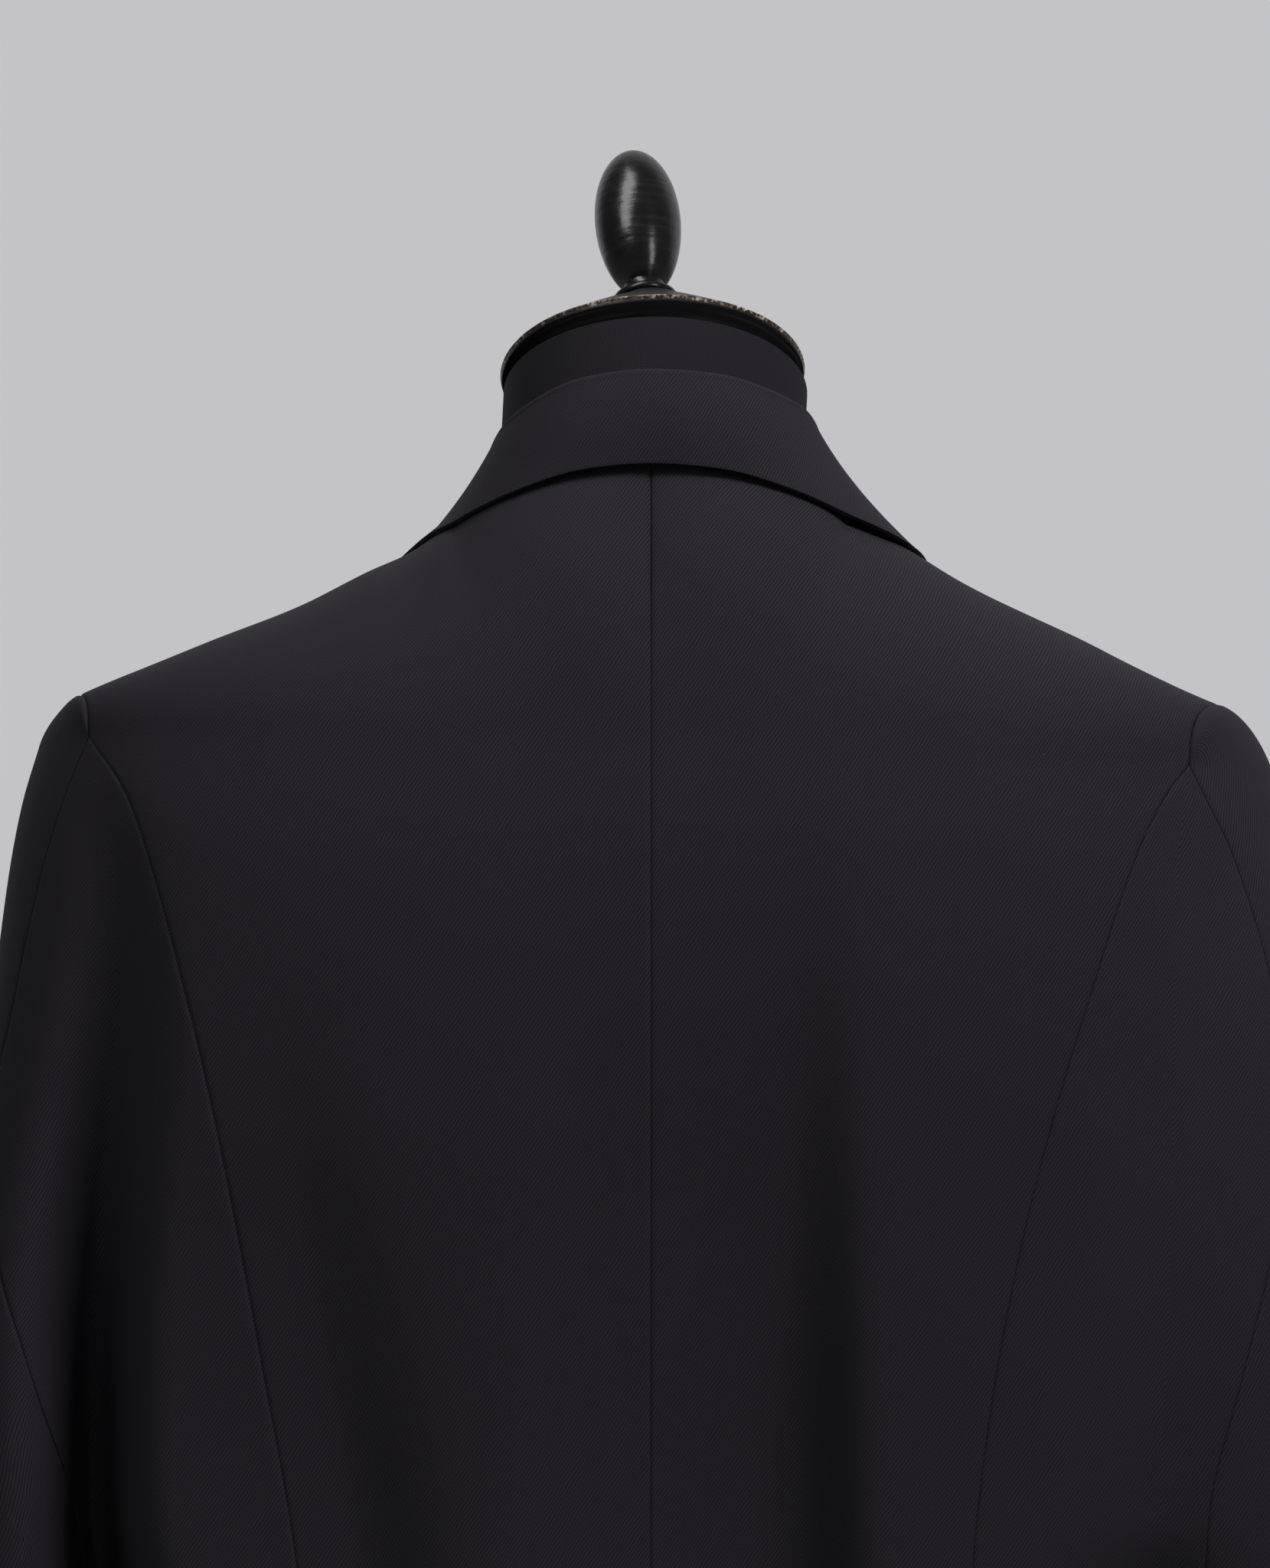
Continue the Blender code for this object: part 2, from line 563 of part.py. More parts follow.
def build_yoke(shell, side, back_low, front_low, tube_rows):
    """Add the shoulder of one half and the cap of its sleeve; gives its neck edge."""
    flip = side.sign < 0
    top = shoulder_points(side)
    back_way = Vector((0.0, BACK_LEAN, 1.0)).normalized()
    front_way = Vector((0.0, FRONT_LEAN, 1.0)).normalized()
    back_grid = []
    for r in range(ARMHOLE_SEGMENTS + 1):
        t = math.sin(0.5 * math.pi * r / ARMHOLE_SEGMENTS)
        row = []
        for low, (high, way) in zip(back_low, top):
            reach = (high - low).length * HANDLE
            row.append(bezier(low, low + back_way * reach, high - way * reach, high, t))
        back_grid.append(row)
    shell.patch(back_grid, lambda r, c: "back_" + side.name, not flip)

    ridge = top[NECK_SEGMENTS:]
    front_grid = []
    rows = ARMHOLE_SEGMENTS - 1
    below_seam = [SEAM_SHARE + (1.0 - SEAM_SHARE) * i / rows for i in range(rows + 1)]
    for t in [0.0] + below_seam:
        row = []
        for low, (high, way) in zip(front_low, ridge):
            reach = (high - low).length * HANDLE
            row.append(bezier(high, high + way * reach, low + front_way * reach, low, t))
        front_grid.append(row)

    def owner(r, c):
        """The back reaches over the shoulder line, to the shoulder seam."""
        return ("back_" if r == 0 else "front_") + side.name

    shell.patch(front_grid, owner, not flip)

    arch = [row[-1] for row in back_grid] + [row[-1] for row in front_grid[1:]]
    low_back = tube_rows[1][0]
    low_front = tube_rows[-1][0]
    ring = low_back + low_front[::-1][1:]
    grid = []
    for r in range(CAP_ROWS + 1):
        t = math.sin(0.5 * math.pi * r / CAP_ROWS)
        row = []
        for high, low in zip(arch, ring):
            span = (low - high).length
            out = Vector((side.sign, 2.9 * (high.y + low.y), -0.30)).normalized()
            rise = Vector((0.0, 0.0, CAP_HANDLE * span))
            row.append(bezier(high, high + out * (CAP_HANDLE * span), low + rise, low, t))
        grid.append(row)
    shell.patch(grid, lambda r, c: "upper_sleeve_" + side.name, flip)
    return [point for point, _ in top[: NECK_SEGMENTS + 1]] + [row[0] for row in front_grid[1:]]


def link(bm_or_mesh, name, material, collection):
    """Put a finished mesh in the scene under its name."""
    mesh = bm_or_mesh
    if isinstance(bm_or_mesh, bmesh.types.BMesh):
        mesh = bpy.data.meshes.new(name)
        bm_or_mesh.to_mesh(mesh)
        bm_or_mesh.free()
    item = bpy.data.objects.new(name, mesh)
    mesh.materials.append(material)
    collection.objects.link(item)
    mesh.shade_smooth()
    mesh.set_sharp_from_angle(angle=math.radians(40.0))
    return item


def inset_ways(points, faces, rim):
    """Direction in the surface from each rim point into the piece."""
    ways = {}
    for face in faces:
        count = len(face)
        normal = Vector()
        for i in range(1, count - 1):
            a, b, c = (points[face[k]] for k in (0, i, i + 1))
            normal += (b - a).cross(c - a)
        normal.normalize()
        for i in range(count):
            a = face[i]
            b = face[(i + 1) % count]
            if (a, b) not in rim:
                continue
            inward = normal.cross(points[b] - points[a]).normalized()
            ways.setdefault(a, []).append(inward)
            ways.setdefault(b, []).append(inward)
    out = {}
    for key, parts in ways.items():
        total = sum(parts, Vector())
        if total.length < 1e-6:
            out[key] = parts[0]
            continue
        total.normalize()
        spread = max(total.dot(parts[0]), 0.45)
        out[key] = total / spread
    return out


def cloth_wall(points, faces, normals, thickness, gap):
    """Closed wall of one piece: its outer faces, the same moved in, and the rim."""
    edges = {}
    for face in faces:
        for i, a in enumerate(face):
            b = face[(i + 1) % len(face)]
            edges[(a, b)] = edges.get((a, b), 0) + 1
    rim = {edge for edge in edges if (edge[1], edge[0]) not in edges}
    ways = inset_ways(points, faces, rim)
    bm = bmesh.new()
    outer = {}
    inner = {}
    for key in sorted({corner for face in faces for corner in face}):
        shift = ways[key] * (0.5 * gap) if key in ways else Vector()
        spot = points[key] + shift
        outer[key] = bm.verts.new(spot)
        inner[key] = bm.verts.new(spot - normals[key] * thickness)
    for face in faces:
        bm.faces.new([outer[k] for k in face])
        bm.faces.new([inner[k] for k in reversed(face)])
    for a, b in rim:
        bm.faces.new([outer[b], outer[a], inner[a], inner[b]])
    return bm


def sheet_wall(grid, thickness, flip):
    """Closed wall from one grid of points, thickened away from its outer side."""
    shell = Shell()
    shell.patch(grid, lambda r, c: "sheet", flip)
    faces = shell.faces["sheet"]
    return cloth_wall(shell.points, faces, shell.normals(), thickness, 0.0)


def surface_tree(shell, pieces):
    """Search tree of the outer surface of some pieces."""
    faces = [face for piece in pieces for face in shell.faces[piece]]
    return BVHTree.FromPolygons(shell.points, faces)


def front_spot(tree, x, z):
    """Point and normal of the surface seen from the front at x and z."""
    hit, normal, _, _ = tree.ray_cast(Vector((x, -0.5, z)), Vector((0.0, 1.0, 0.0)))
    if hit is None:
        hit, normal, _, _ = tree.find_nearest(Vector((x, -0.115, z)))
    return hit, normal


def lapel_grid(side, line, tree):
    """Points of a lapel's upper side, lying on its front and lifted along the roll."""
    grid = []
    for r in range(LAPEL_ROWS + 1):
        t = r / LAPEL_ROWS
        level = BREAK_Z + (GORGE_Z - BREAK_Z) * t
        edge = roll_x(level) if level <= YOKE_Z else edge_spot(line, level).x
        width = read_row(LAPEL_COLUMNS, LAPEL, "width", t)
        fall = (GORGE_Z - LAPEL_POINT_Z) * smooth_step(0.55, 1.0, t)
        row = []
        for c in range(LAPEL_ACROSS + 1):
            s = c / LAPEL_ACROSS
            x = edge + LAPEL_INSET + width * s
            z = level - fall * s
            hit, normal = front_spot(tree, side.sign * x, z)
            lift = LAPEL_LAY + WALL + LAPEL_LIFT * (1.0 - s) ** 2 * smooth_step(0.0, 0.3, t)
            row.append(hit + normal * lift)
        grid.append(row)
    return grid


def neck_spot(line, t):
    """Point of the garment's neck edge at the collar's station t."""
    if t <= COLLAR_SIDE:
        step = min(t / COLLAR_SIDE, 1.0) * NECK_SEGMENTS
        low = min(int(step), NECK_SEGMENTS - 1)
        return line[low].lerp(line[low + 1], step - low)
    end = GORGE_Z + GORGE_RISE
    front = [point for point in line[NECK_SEGMENTS:] if point.z > end]
    front.append(Vector((*edge_spot(line, end), end)))
    lengths = [(b - a).length for a, b in zip(front, front[1:])]
    left = sum(lengths) * (t - COLLAR_SIDE) / (1.0 - COLLAR_SIDE)
    for a, b, length in zip(front, front[1:], lengths):
        if left <= length:
            return a.lerp(b, left / length)
        left -= length
    return front[-1].copy()


def edge_spot(line, z):
    """X and Y of the front's free edge at height z, above the yoke's lower end."""
    for high, low in zip(line[NECK_SEGMENTS:], line[NECK_SEGMENTS + 1 :]):
        if low.z <= z:
            return high.lerp(low, (high.z - z) / (high.z - low.z)).xy
    return line[-1].xy


def neck_edge(line, t):
    """Inner foot of the collar at station t, just inside and above the garment's neck edge."""
    spot = neck_spot(line, t)
    step = 0.5 / COLLAR_STEPS
    along = neck_spot(line, min(t + step, 1.0)) - neck_spot(line, max(t - step, 0.0))
    inward = Vector((along.y, -along.x, 0.0)).normalized()
    if t == 0.0:
        inward = Vector((0.0, -1.0, 0.0))
    return spot + inward * (WALL + COLLAR_RISE) + Vector((0.0, 0.0, COLLAR_RISE))


def gorge_line(x):
    """Height of the seam between collar and lapel at distance x."""
    return GORGE_Z - (GORGE_Z - LAPEL_POINT_Z) * (x - GORGE_X - LAPEL_INSET) / LAPEL[-1][1]


def collar_grid(line, tree):
    """Points of the collar's outer side, from the neck seam over the roll to the falling edge."""
    stations = [(i / (len(COLLAR) - 1), *row) for i, row in enumerate(COLLAR)]
    columns = ("t", *COLLAR_COLUMNS)
    up = Vector((0.0, 0.0, 1.0))
    grid = []
    for i in range(-COLLAR_STEPS, COLLAR_STEPS + 1):
        t = abs(i) / COLLAR_STEPS
        sign = -1.0 if i < 0 else 1.0
        value = {name: read_row(columns, stations, name, t) for name in COLLAR_COLUMNS}
        seam = neck_edge(line, t)
        roll = Vector((value["roll_x"], value["roll_y"], value["roll_z"]))
        edge = Vector((value["edge_x"], value["edge_y"], value["edge_z"]))
        out = Vector((edge.x - roll.x, edge.y - roll.y, 0.0)).normalized()
        foot = roll - up * ROLL_RADIUS
        clear = LAY_GAP + WALL + 0.0006 + FRONT_RISE * smooth_step(COLLAR_SIDE, 1.0, t)
        row = [seam.lerp(foot, k / STAND_STEPS) for k in range(STAND_STEPS)]
        for k in range(5):
            angle = math.pi * (1.0 - k / 4.0)
            turn = out * (1.0 + math.cos(angle)) + up * math.sin(angle)
            row.append(foot + turn * ROLL_RADIUS)
        start = row[-1].copy()
        for k in range(1, FALL_STEPS + 1):
            s = k / FALL_STEPS
            spot = start.lerp(edge, s)
            spot += (out + up * 0.8).normalized() * (FALL_BOW * math.sin(math.pi * s))
            if abs(i) == COLLAR_STEPS:
                height = gorge_line(spot.x) + GORGE_GAP + NOTCH * smooth_step(0.5, 1.0, s)
                hit, normal = front_spot(tree, spot.x, height)
                spot = hit + normal * (clear + LAPEL_LIFT * (1.0 - s) ** 2)
            near, normal, _, distance = tree.find_nearest(spot)
            if (spot - near).dot(normal) < clear and distance < 0.02:
                spot = near + normal * clear
            row.append(spot)
        grid.append([Vector((sign * p.x, p.y, p.z)) for p in row])
    return grid


def ring_points(row, tilt, segments):
    """Points of one section of the dress form."""
    half, back, front, middle, z, power = row
    out = []
    for i in range(segments):
        angle = 2.0 * math.pi * i / segments
        c = math.cos(angle)
        s = math.sin(angle)
        x = half * math.copysign(abs(c) ** (2.0 / power), c)
        deep = back if s >= 0.0 else front
        y = deep * math.copysign(abs(s) ** (2.0 / power), s)
        out.append(Vector((x, middle + y * math.cos(tilt), z + y * math.sin(tilt))))
    return out


def build_form(material, collection):
    """The limbless torso and neck, one smooth closed body."""
    rings = []
    for z, half, back, front, middle, power in FORM:
        rings.append(ring_points((half, back, front, middle, z, power), 0.0, FORM_SEGMENTS))
    low_z, low_half, low_deep = FORM[-1][:3]
    drop = CAP_SIDE + SEAM_GAP
    top_y = CAP_EDGE_Y + drop * math.sin(CAP_TILT)
    top_z = CAP_EDGE_Z - drop * math.cos(CAP_TILT)
    for i in range(1, NECK_STEPS + 1):
        t = i / NECK_STEPS
        half = low_half + (NECK_RADIUS - low_half) * t
        deep = low_deep + (NECK_RADIUS - low_deep) * t
        z = low_z + (top_z - low_z) * t
        rings.append(ring_points((half, deep, deep, top_y * t, z, 2.0), CAP_TILT * t, FORM_SEGMENTS))
    bm = bmesh.new()
    loops = [[bm.verts.new(co) for co in ring] for ring in rings]
    for low, high in zip(loops, loops[1:]):
        for i in range(FORM_SEGMENTS):
            j = (i + 1) % FORM_SEGMENTS
            bm.faces.new((low[i], low[j], high[j], high[i]))
    bm.faces.new(list(reversed(loops[0])))
    bm.faces.new(loops[-1])
    bmesh.ops.recalc_face_normals(bm, faces=bm.faces)
    return link(bm, "form_torso", material, collection)


def turned(name, profile, segments, material, collection, place):
    """Turned solid: a profile of radius and height, top to bottom, spun with a Screw modifier."""
    mesh = bpy.data.meshes.new(name)
    points = [(radius, 0.0, height) for radius, height in profile]
    mesh.from_pydata(points, [(i, i + 1) for i in range(len(points) - 1)], [])
    item = bpy.data.objects.new(name, mesh)
    mesh.materials.append(material)
    collection.objects.link(item)
    item.matrix_world = place
    screw = item.modifiers.new("turn", "SCREW")
    screw.steps = segments
    screw.render_steps = segments
    screw.use_merge_vertices = True
    screw.merge_threshold = 0.00005
    screw.use_smooth_shade = True
    return item


def cap_profile():
    """Dome, sharp worn edge and rounded side of the neck cap, top to bottom."""
    points = [(0.0, DOME_HEIGHT), (FLANGE_RADIUS + 0.0008, DOME_HEIGHT)]
    for share in (0.25, 0.5, 0.75):
        radius = FLANGE_RADIUS + (CAP_RADIUS - FLANGE_RADIUS) * share
        height = DOME_HEIGHT * (1.0 - share) + 0.0022 * math.sin(math.pi * share)
        points.append((radius, height))
    points.append((CAP_RADIUS - 0.0012, 0.0006))
    steps = 6
    for i in range(steps + 1):
        angle = math.pi * (0.5 - i / steps)
        bulge = 0.0014 * math.cos(angle)
        points.append((CAP_RADIUS - 0.0004 + bulge - 0.0030 * (i / steps) ** 3, -CAP_SIDE * i / steps))
    points.append((0.0, -CAP_SIDE))
    return points


def finial_profile():
    """Egg-shaped finial on its flange, top to bottom."""
    middle = FLANGE_THICK + FINIAL_LOW * 0.868
    points = [(0.0, middle + FINIAL_HIGH)]
    for i in range(1, 8):
        angle = math.radians(90.0 - 90.0 * i / 7)
        points.append((FINIAL_RADIUS * math.cos(angle), middle + FINIAL_HIGH * math.sin(angle)))
    for i in range(1, 6):
        angle = math.radians(60.2 * i / 5)
        points.append((FINIAL_RADIUS * math.cos(angle), middle - FINIAL_LOW * math.sin(angle)))
    points.append((FLANGE_RADIUS - 0.0012, FLANGE_THICK))
    points.append((FLANGE_RADIUS, FLANGE_THICK * 0.5))
    points.append((FLANGE_RADIUS - 0.0006, 0.0))
    points.append((0.0, 0.0))
    return points


def build_top(wood, collection):
    """Turned cap and finial, tilted with the neck."""
    tilt = Matrix.Rotation(CAP_TILT, 4, "X")
    place = Matrix.Translation((0.0, CAP_EDGE_Y, CAP_EDGE_Z)) @ tilt
    turned("neck_cap", cap_profile(), CAP_SEGMENTS, wood, collection, place)
    seat = Matrix.Translation((FINIAL_SHIFT, 0.0, DOME_HEIGHT + SEAM_GAP + FLANGE_RADIUS * math.sin(FINIAL_LEAN)))
    lean = Matrix.Rotation(FINIAL_LEAN, 4, "Y")
    turned("finial", finial_profile(), FINIAL_SEGMENTS, wood, collection, place @ seat @ lean)


def build_stand(wood, metal, collection):
    """Socket under the torso, pole and turned base."""
    form_bottom = FORM[0][0]
    rest = Matrix.Identity(4)
    socket_low = form_bottom - SOCKET_DROP
    socket = [
        (0.0, form_bottom - SEAM_GAP),
        (SOCKET_RADIUS, form_bottom - SEAM_GAP),
        (SOCKET_RADIUS, form_bottom - 0.010),
        (SOCKET_RADIUS * 0.72, form_bottom - 0.016),
        (SOCKET_RADIUS * 0.66, socket_low + 0.004),
        (SOCKET_RADIUS * 0.60, socket_low),
        (0.0, socket_low),
    ]
    turned("stand_socket", socket, 24, wood, collection, rest)
    pole_top = socket_low - SEAM_GAP
    pole_low = BASE_HEIGHT + SEAM_GAP
    bpy.ops.mesh.primitive_cylinder_add(
        vertices=20, radius=POLE_RADIUS, depth=pole_top - pole_low,
        location=(0.0, 0.0, 0.5 * (pole_top + pole_low)),
    )
    pole = bpy.context.object
    pole.name = "stand_pole"
    pole.data.name = "stand_pole"
    pole.data.materials.append(metal)
    for owner in list(pole.users_collection):
        owner.objects.unlink(pole)
    collection.objects.link(pole)
    pole.data.shade_smooth()
    pole.data.set_sharp_from_angle(angle=math.radians(40.0))
    base = [
        (0.0, BASE_HEIGHT),
        (0.021, BASE_HEIGHT),
        (0.025, BASE_HEIGHT - 0.003),
        (0.027, BASE_HEIGHT - 0.014),
        (0.040, BASE_HEIGHT - 0.022),
        (BASE_RADIUS * 0.60, 0.0170),
        (BASE_RADIUS * 0.93, 0.0125),
        (BASE_RADIUS, 0.0080),
        (BASE_RADIUS, 0.0015),
        (BASE_RADIUS - 0.0015, 0.0),
        (0.0, 0.0),
    ]
    turned("stand_base", base, STAND_SEGMENTS, metal, collection, rest)


def build_button(tree, material, collection):
    """The button that holds the fronts together."""
    hit, normal = front_spot(tree, 0.0, BUTTON_Z)
    centre = hit + normal * (SEAM_GAP + 0.5 * BUTTON_THICK)
    profile = [
        (0.0, 0.30 * BUTTON_THICK),
        (0.70 * BUTTON_RADIUS, 0.30 * BUTTON_THICK),
        (0.80 * BUTTON_RADIUS, 0.50 * BUTTON_THICK),
        (0.92 * BUTTON_RADIUS, 0.50 * BUTTON_THICK),
        (BUTTON_RADIUS, 0.15 * BUTTON_THICK),
        (BUTTON_RADIUS, -0.15 * BUTTON_THICK),
        (0.85 * BUTTON_RADIUS, -0.50 * BUTTON_THICK),
        (0.0, -0.50 * BUTTON_THICK),
    ]
    turn = normal.to_track_quat("Z", "Y").to_matrix().to_4x4()
    turned("button_front", profile, 24, material, collection, Matrix.Translation(centre) @ turn)


def main():
    """Build the blazer and the dress form that wears it."""
    clear_scene()
    collection = bpy.data.collections.new("blazer_on_dress_form")
    bpy.context.scene.collection.children.link(collection)
    wool = make_material("black_wool", (0.018, 0.016, 0.020), 0.85)
    cover = make_material("form_cover", (0.020, 0.019, 0.021), 0.9)
    wood = make_material("black_painted_wood", (0.012, 0.012, 0.013), 0.25)
    metal = make_material("black_metal", (0.015, 0.015, 0.016), 0.4, 0.8)
    horn = make_material("button_black", (0.015, 0.013, 0.013), 0.35)

    shell = Shell()
    build_half(shell, RIGHT)
    line = build_half(shell, LEFT)
    normals = shell.normals()
    for piece, faces in shell.faces.items():
        link(cloth_wall(shell.points, faces, normals, WALL, SEAM_GAP), piece, wool, collection)
    for side in (LEFT, RIGHT):
        tree = surface_tree(shell, ["front_" + side.name])
        link(sheet_wall(lapel_grid(side, line, tree), WALL, side.sign < 0), "lapel_" + side.name, wool, collection)
    tree = surface_tree(shell, list(shell.faces))
    link(sheet_wall(collar_grid(line, tree), WALL, True), "collar", wool, collection)
    build_button(tree, horn, collection)
    build_form(cover, collection)
    build_top(wood, collection)
    build_stand(wood, metal, collection)


main()
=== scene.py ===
"""Looks of a black twill blazer worn by a limbless dress form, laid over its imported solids.

Metres, +Z up. The blazer's back faces +Y, so the wearer's left is at +X. Each cut piece of
cloth is a flat grid that is laid on a surface worked out from the sizes of its solid, with a
finer net and deeper folds. The edges turn in at the seams, and every fold and crease is a row
of a short table.
"""

from __future__ import annotations

import logging
import math
from dataclasses import dataclass, field
from enum import Enum
from typing import Callable, ClassVar, Sequence

import bmesh
import bpy
from bmesh.types import BMesh
from bpy.types import Material, NodeSocket, Object
from mathutils import Matrix, Vector, noise
from mathutils.bvhtree import BVHTree
from mathutils.kdtree import KDTree

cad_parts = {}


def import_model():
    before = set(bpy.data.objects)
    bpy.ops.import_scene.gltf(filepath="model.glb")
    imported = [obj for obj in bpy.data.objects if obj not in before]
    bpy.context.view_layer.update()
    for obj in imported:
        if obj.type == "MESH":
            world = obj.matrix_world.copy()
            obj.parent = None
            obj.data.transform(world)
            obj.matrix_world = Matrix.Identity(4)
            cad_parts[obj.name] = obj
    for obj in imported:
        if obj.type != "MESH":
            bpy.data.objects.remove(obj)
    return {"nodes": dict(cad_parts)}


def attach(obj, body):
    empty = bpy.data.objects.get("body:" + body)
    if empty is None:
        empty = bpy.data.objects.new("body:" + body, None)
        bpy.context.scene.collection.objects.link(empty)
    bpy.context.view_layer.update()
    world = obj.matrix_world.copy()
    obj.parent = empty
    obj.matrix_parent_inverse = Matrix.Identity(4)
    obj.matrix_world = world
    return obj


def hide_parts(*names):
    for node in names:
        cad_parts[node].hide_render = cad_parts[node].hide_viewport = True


LOG = logging.getLogger("blazer")
BODY = "root"

Row = Sequence[float]
Points = list[Vector]
Profile = list[tuple[float, float]]


class Face(Enum):
    """The two faces of a section: the blazer's back and its front."""

    BACK = 1
    FRONT = -1


# Cloth, seams, levels above the floor, neck and shoulder, as in the solids
WALL = 0.0018
SEAM_GAP = 0.0003
TINY = 1e-6
LEAST = 1e-9
LAY_GAP = 0.0007
YOKE_Z = 1.348
HEM_Z = 0.735
CUFF_Z = 0.785
BREAK_Z = 1.085
BUTTON_Z = 1.068
NAPE_Z = 1.463
NECK_POINT_Z = 1.4365
NECK_POINT_X = 0.077
NAPE_Y = 0.066
RIDGE_Y = 0.006
FRONT_OVERLAP = 0.018
NECK_SHARE = 4 / 11
SEAM_SHARE = 0.16
HANDLE = 0.42
BACK_WAY = Vector((0.0, -0.10, 1.0)).normalized()
FRONT_WAY = Vector((0.0, 0.12, 1.0)).normalized()
CAP_HANDLES = (0.36, 0.30)
BLEND = 0.035

# How the surface is eased: the roundness of a section, the most that a fold stays open, the
# depth at which folds die out at the sleeve's edge, and the reach of the yoke's low end
SECTION_POWER = 4
SOFT_BEND = 2.0
BEND_WIDENS = 0.0005
MOST_OPEN = 0.999
EDGE_EASE = 0.020
YOKE_EASE = 0.045

# The left front's room over the right front and its lapel: depth, the levels above the break
# between which it ends, and the distances from the centre between which it ends
LAPEL_ROOM = 0.0052
OVER_FRONT = (0.10, 0.20)
OVER_LAPEL = (0.09, 0.16)
BELOW_BREAK = 0.05
ROOM_ENDS = (0.030, 0.090)

# Shoulder lines, from the neck to the sleeve
RIDGE_NAMES = "x z"
LEFT_RIDGE = (
    (0.000, 1.5000),
    (0.050, 1.4560),
    (0.077, 1.4365),
    (0.093, 1.4240),
    (0.110, 1.4162),
    (0.137, 1.4022),
    (0.171, 1.3882),
    (0.200, 1.3754),
    (0.2245, 1.3650),
)
RIGHT_RIDGE = (
    (0.000, 1.5000),
    (0.050, 1.4560),
    (0.077, 1.4365),
    (0.093, 1.4245),
    (0.110, 1.4172),
    (0.137, 1.4040),
    (0.160, 1.3932),
    (0.185, 1.3816),
    (0.205, 1.3738),
    (0.224, 1.3668),
)

# Depth of the garment and of its sleeves at each level
DEPTH_NAMES = "z back front sleeve_back sleeve_front sleeve_y"
DEPTH = (
    (1.348, 0.0980, 0.1050, 0.0980, 0.1050, 0.000),
    (1.300, 0.1040, 0.1170, 0.1000, 0.1050, 0.001),
    (1.250, 0.1055, 0.1230, 0.1010, 0.1040, 0.003),
    (1.200, 0.1045, 0.1240, 0.1015, 0.1030, 0.004),
    (1.150, 0.1020, 0.1220, 0.1015, 0.1020, 0.005),
    (1.050, 0.0990, 0.1170, 0.1010, 0.1010, 0.002),
    (0.985, 0.0990, 0.1170, 0.1000, 0.1000, -0.003),
    (0.920, 0.1020, 0.1190, 0.0980, 0.0980, -0.012),
    (0.860, 0.1060, 0.1220, 0.0920, 0.0920, -0.024),
    (0.785, 0.1105, 0.1255, 0.0820, 0.0820, -0.042),
    (0.735, 0.1130, 0.1270, 0.0800, 0.0800, -0.050),
)

# Seam lines and the fold behind the arm, as distances from the centre line
SIDE_NAMES = (
    "z outer princess hindarm forearm front_seam fold open front_open near far body_gap sleeve_gap"
)
LEFT_SIDE = (
    (1.348, 0.2398, 0.2163, 0.2163, 0.2163, 0.2163, 0.2163, 0.999, 0.999, 0.012, 0.018, 0.000, 0.000),
    (1.325, 0.2464, 0.2005, 0.2258, 0.2245, 0.2020, 0.2120, 0.970, 0.980, 0.012, 0.018, 0.000, 0.000),
    (1.300, 0.2510, 0.1911, 0.2337, 0.2310, 0.1925, 0.2060, 0.920, 0.930, 0.012, 0.018, 0.000, 0.000),
    (1.250, 0.2573, 0.1769, 0.2450, 0.2385, 0.1790, 0.2045, 0.800, 0.850, 0.015, 0.022, 0.000, 0.000),
    (1.200, 0.2650, 0.1650, 0.2535, 0.2420, 0.1700, 0.2085, 0.660, 0.760, 0.016, 0.022, 0.000, 0.000),
    (1.150, 0.2740, 0.1550, 0.2500, 0.2420, 0.1640, 0.2130, 0.520, 0.660, 0.017, 0.021, 0.000, 0.000),
    (1.100, 0.2825, 0.1457, 0.2348, 0.2400, 0.1600, 0.2160, 0.390, 0.540, 0.018, 0.018, 0.000, 0.000),
    (1.050, 0.2885, 0.1365, 0.2213, 0.2370, 0.1575, 0.2160, 0.270, 0.400, 0.019, 0.017, 0.000, 0.000),
    (0.985, 0.2930, 0.1275, 0.2160, 0.2350, 0.1555, 0.2090, 0.000, 0.000, 0.026, 0.022, 0.000, 0.000),
    (0.950, 0.2955, 0.1235, 0.2255, 0.2370, 0.1550, 0.2075, 0.000, 0.000, 0.036, 0.028, 0.006, 0.010),
    (0.915, 0.2980, 0.1210, 0.2335, 0.2410, 0.1550, 0.2090, 0.000, 0.000, 0.045, 0.030, 0.009, 0.014),
    (0.860, 0.3005, 0.1190, 0.2430, 0.2480, 0.1560, 0.2115, 0.000, 0.000, 0.045, 0.030, 0.011, 0.018),
    (0.785, 0.3030, 0.1192, 0.2530, 0.2560, 0.1585, 0.2150, 0.000, 0.000, 0.045, 0.030, 0.012, 0.022),
    (0.735, 0.3030, 0.1205, 0.2560, 0.2600, 0.1600, 0.2170, 0.000, 0.000, 0.045, 0.030, 0.012, 0.024),
)
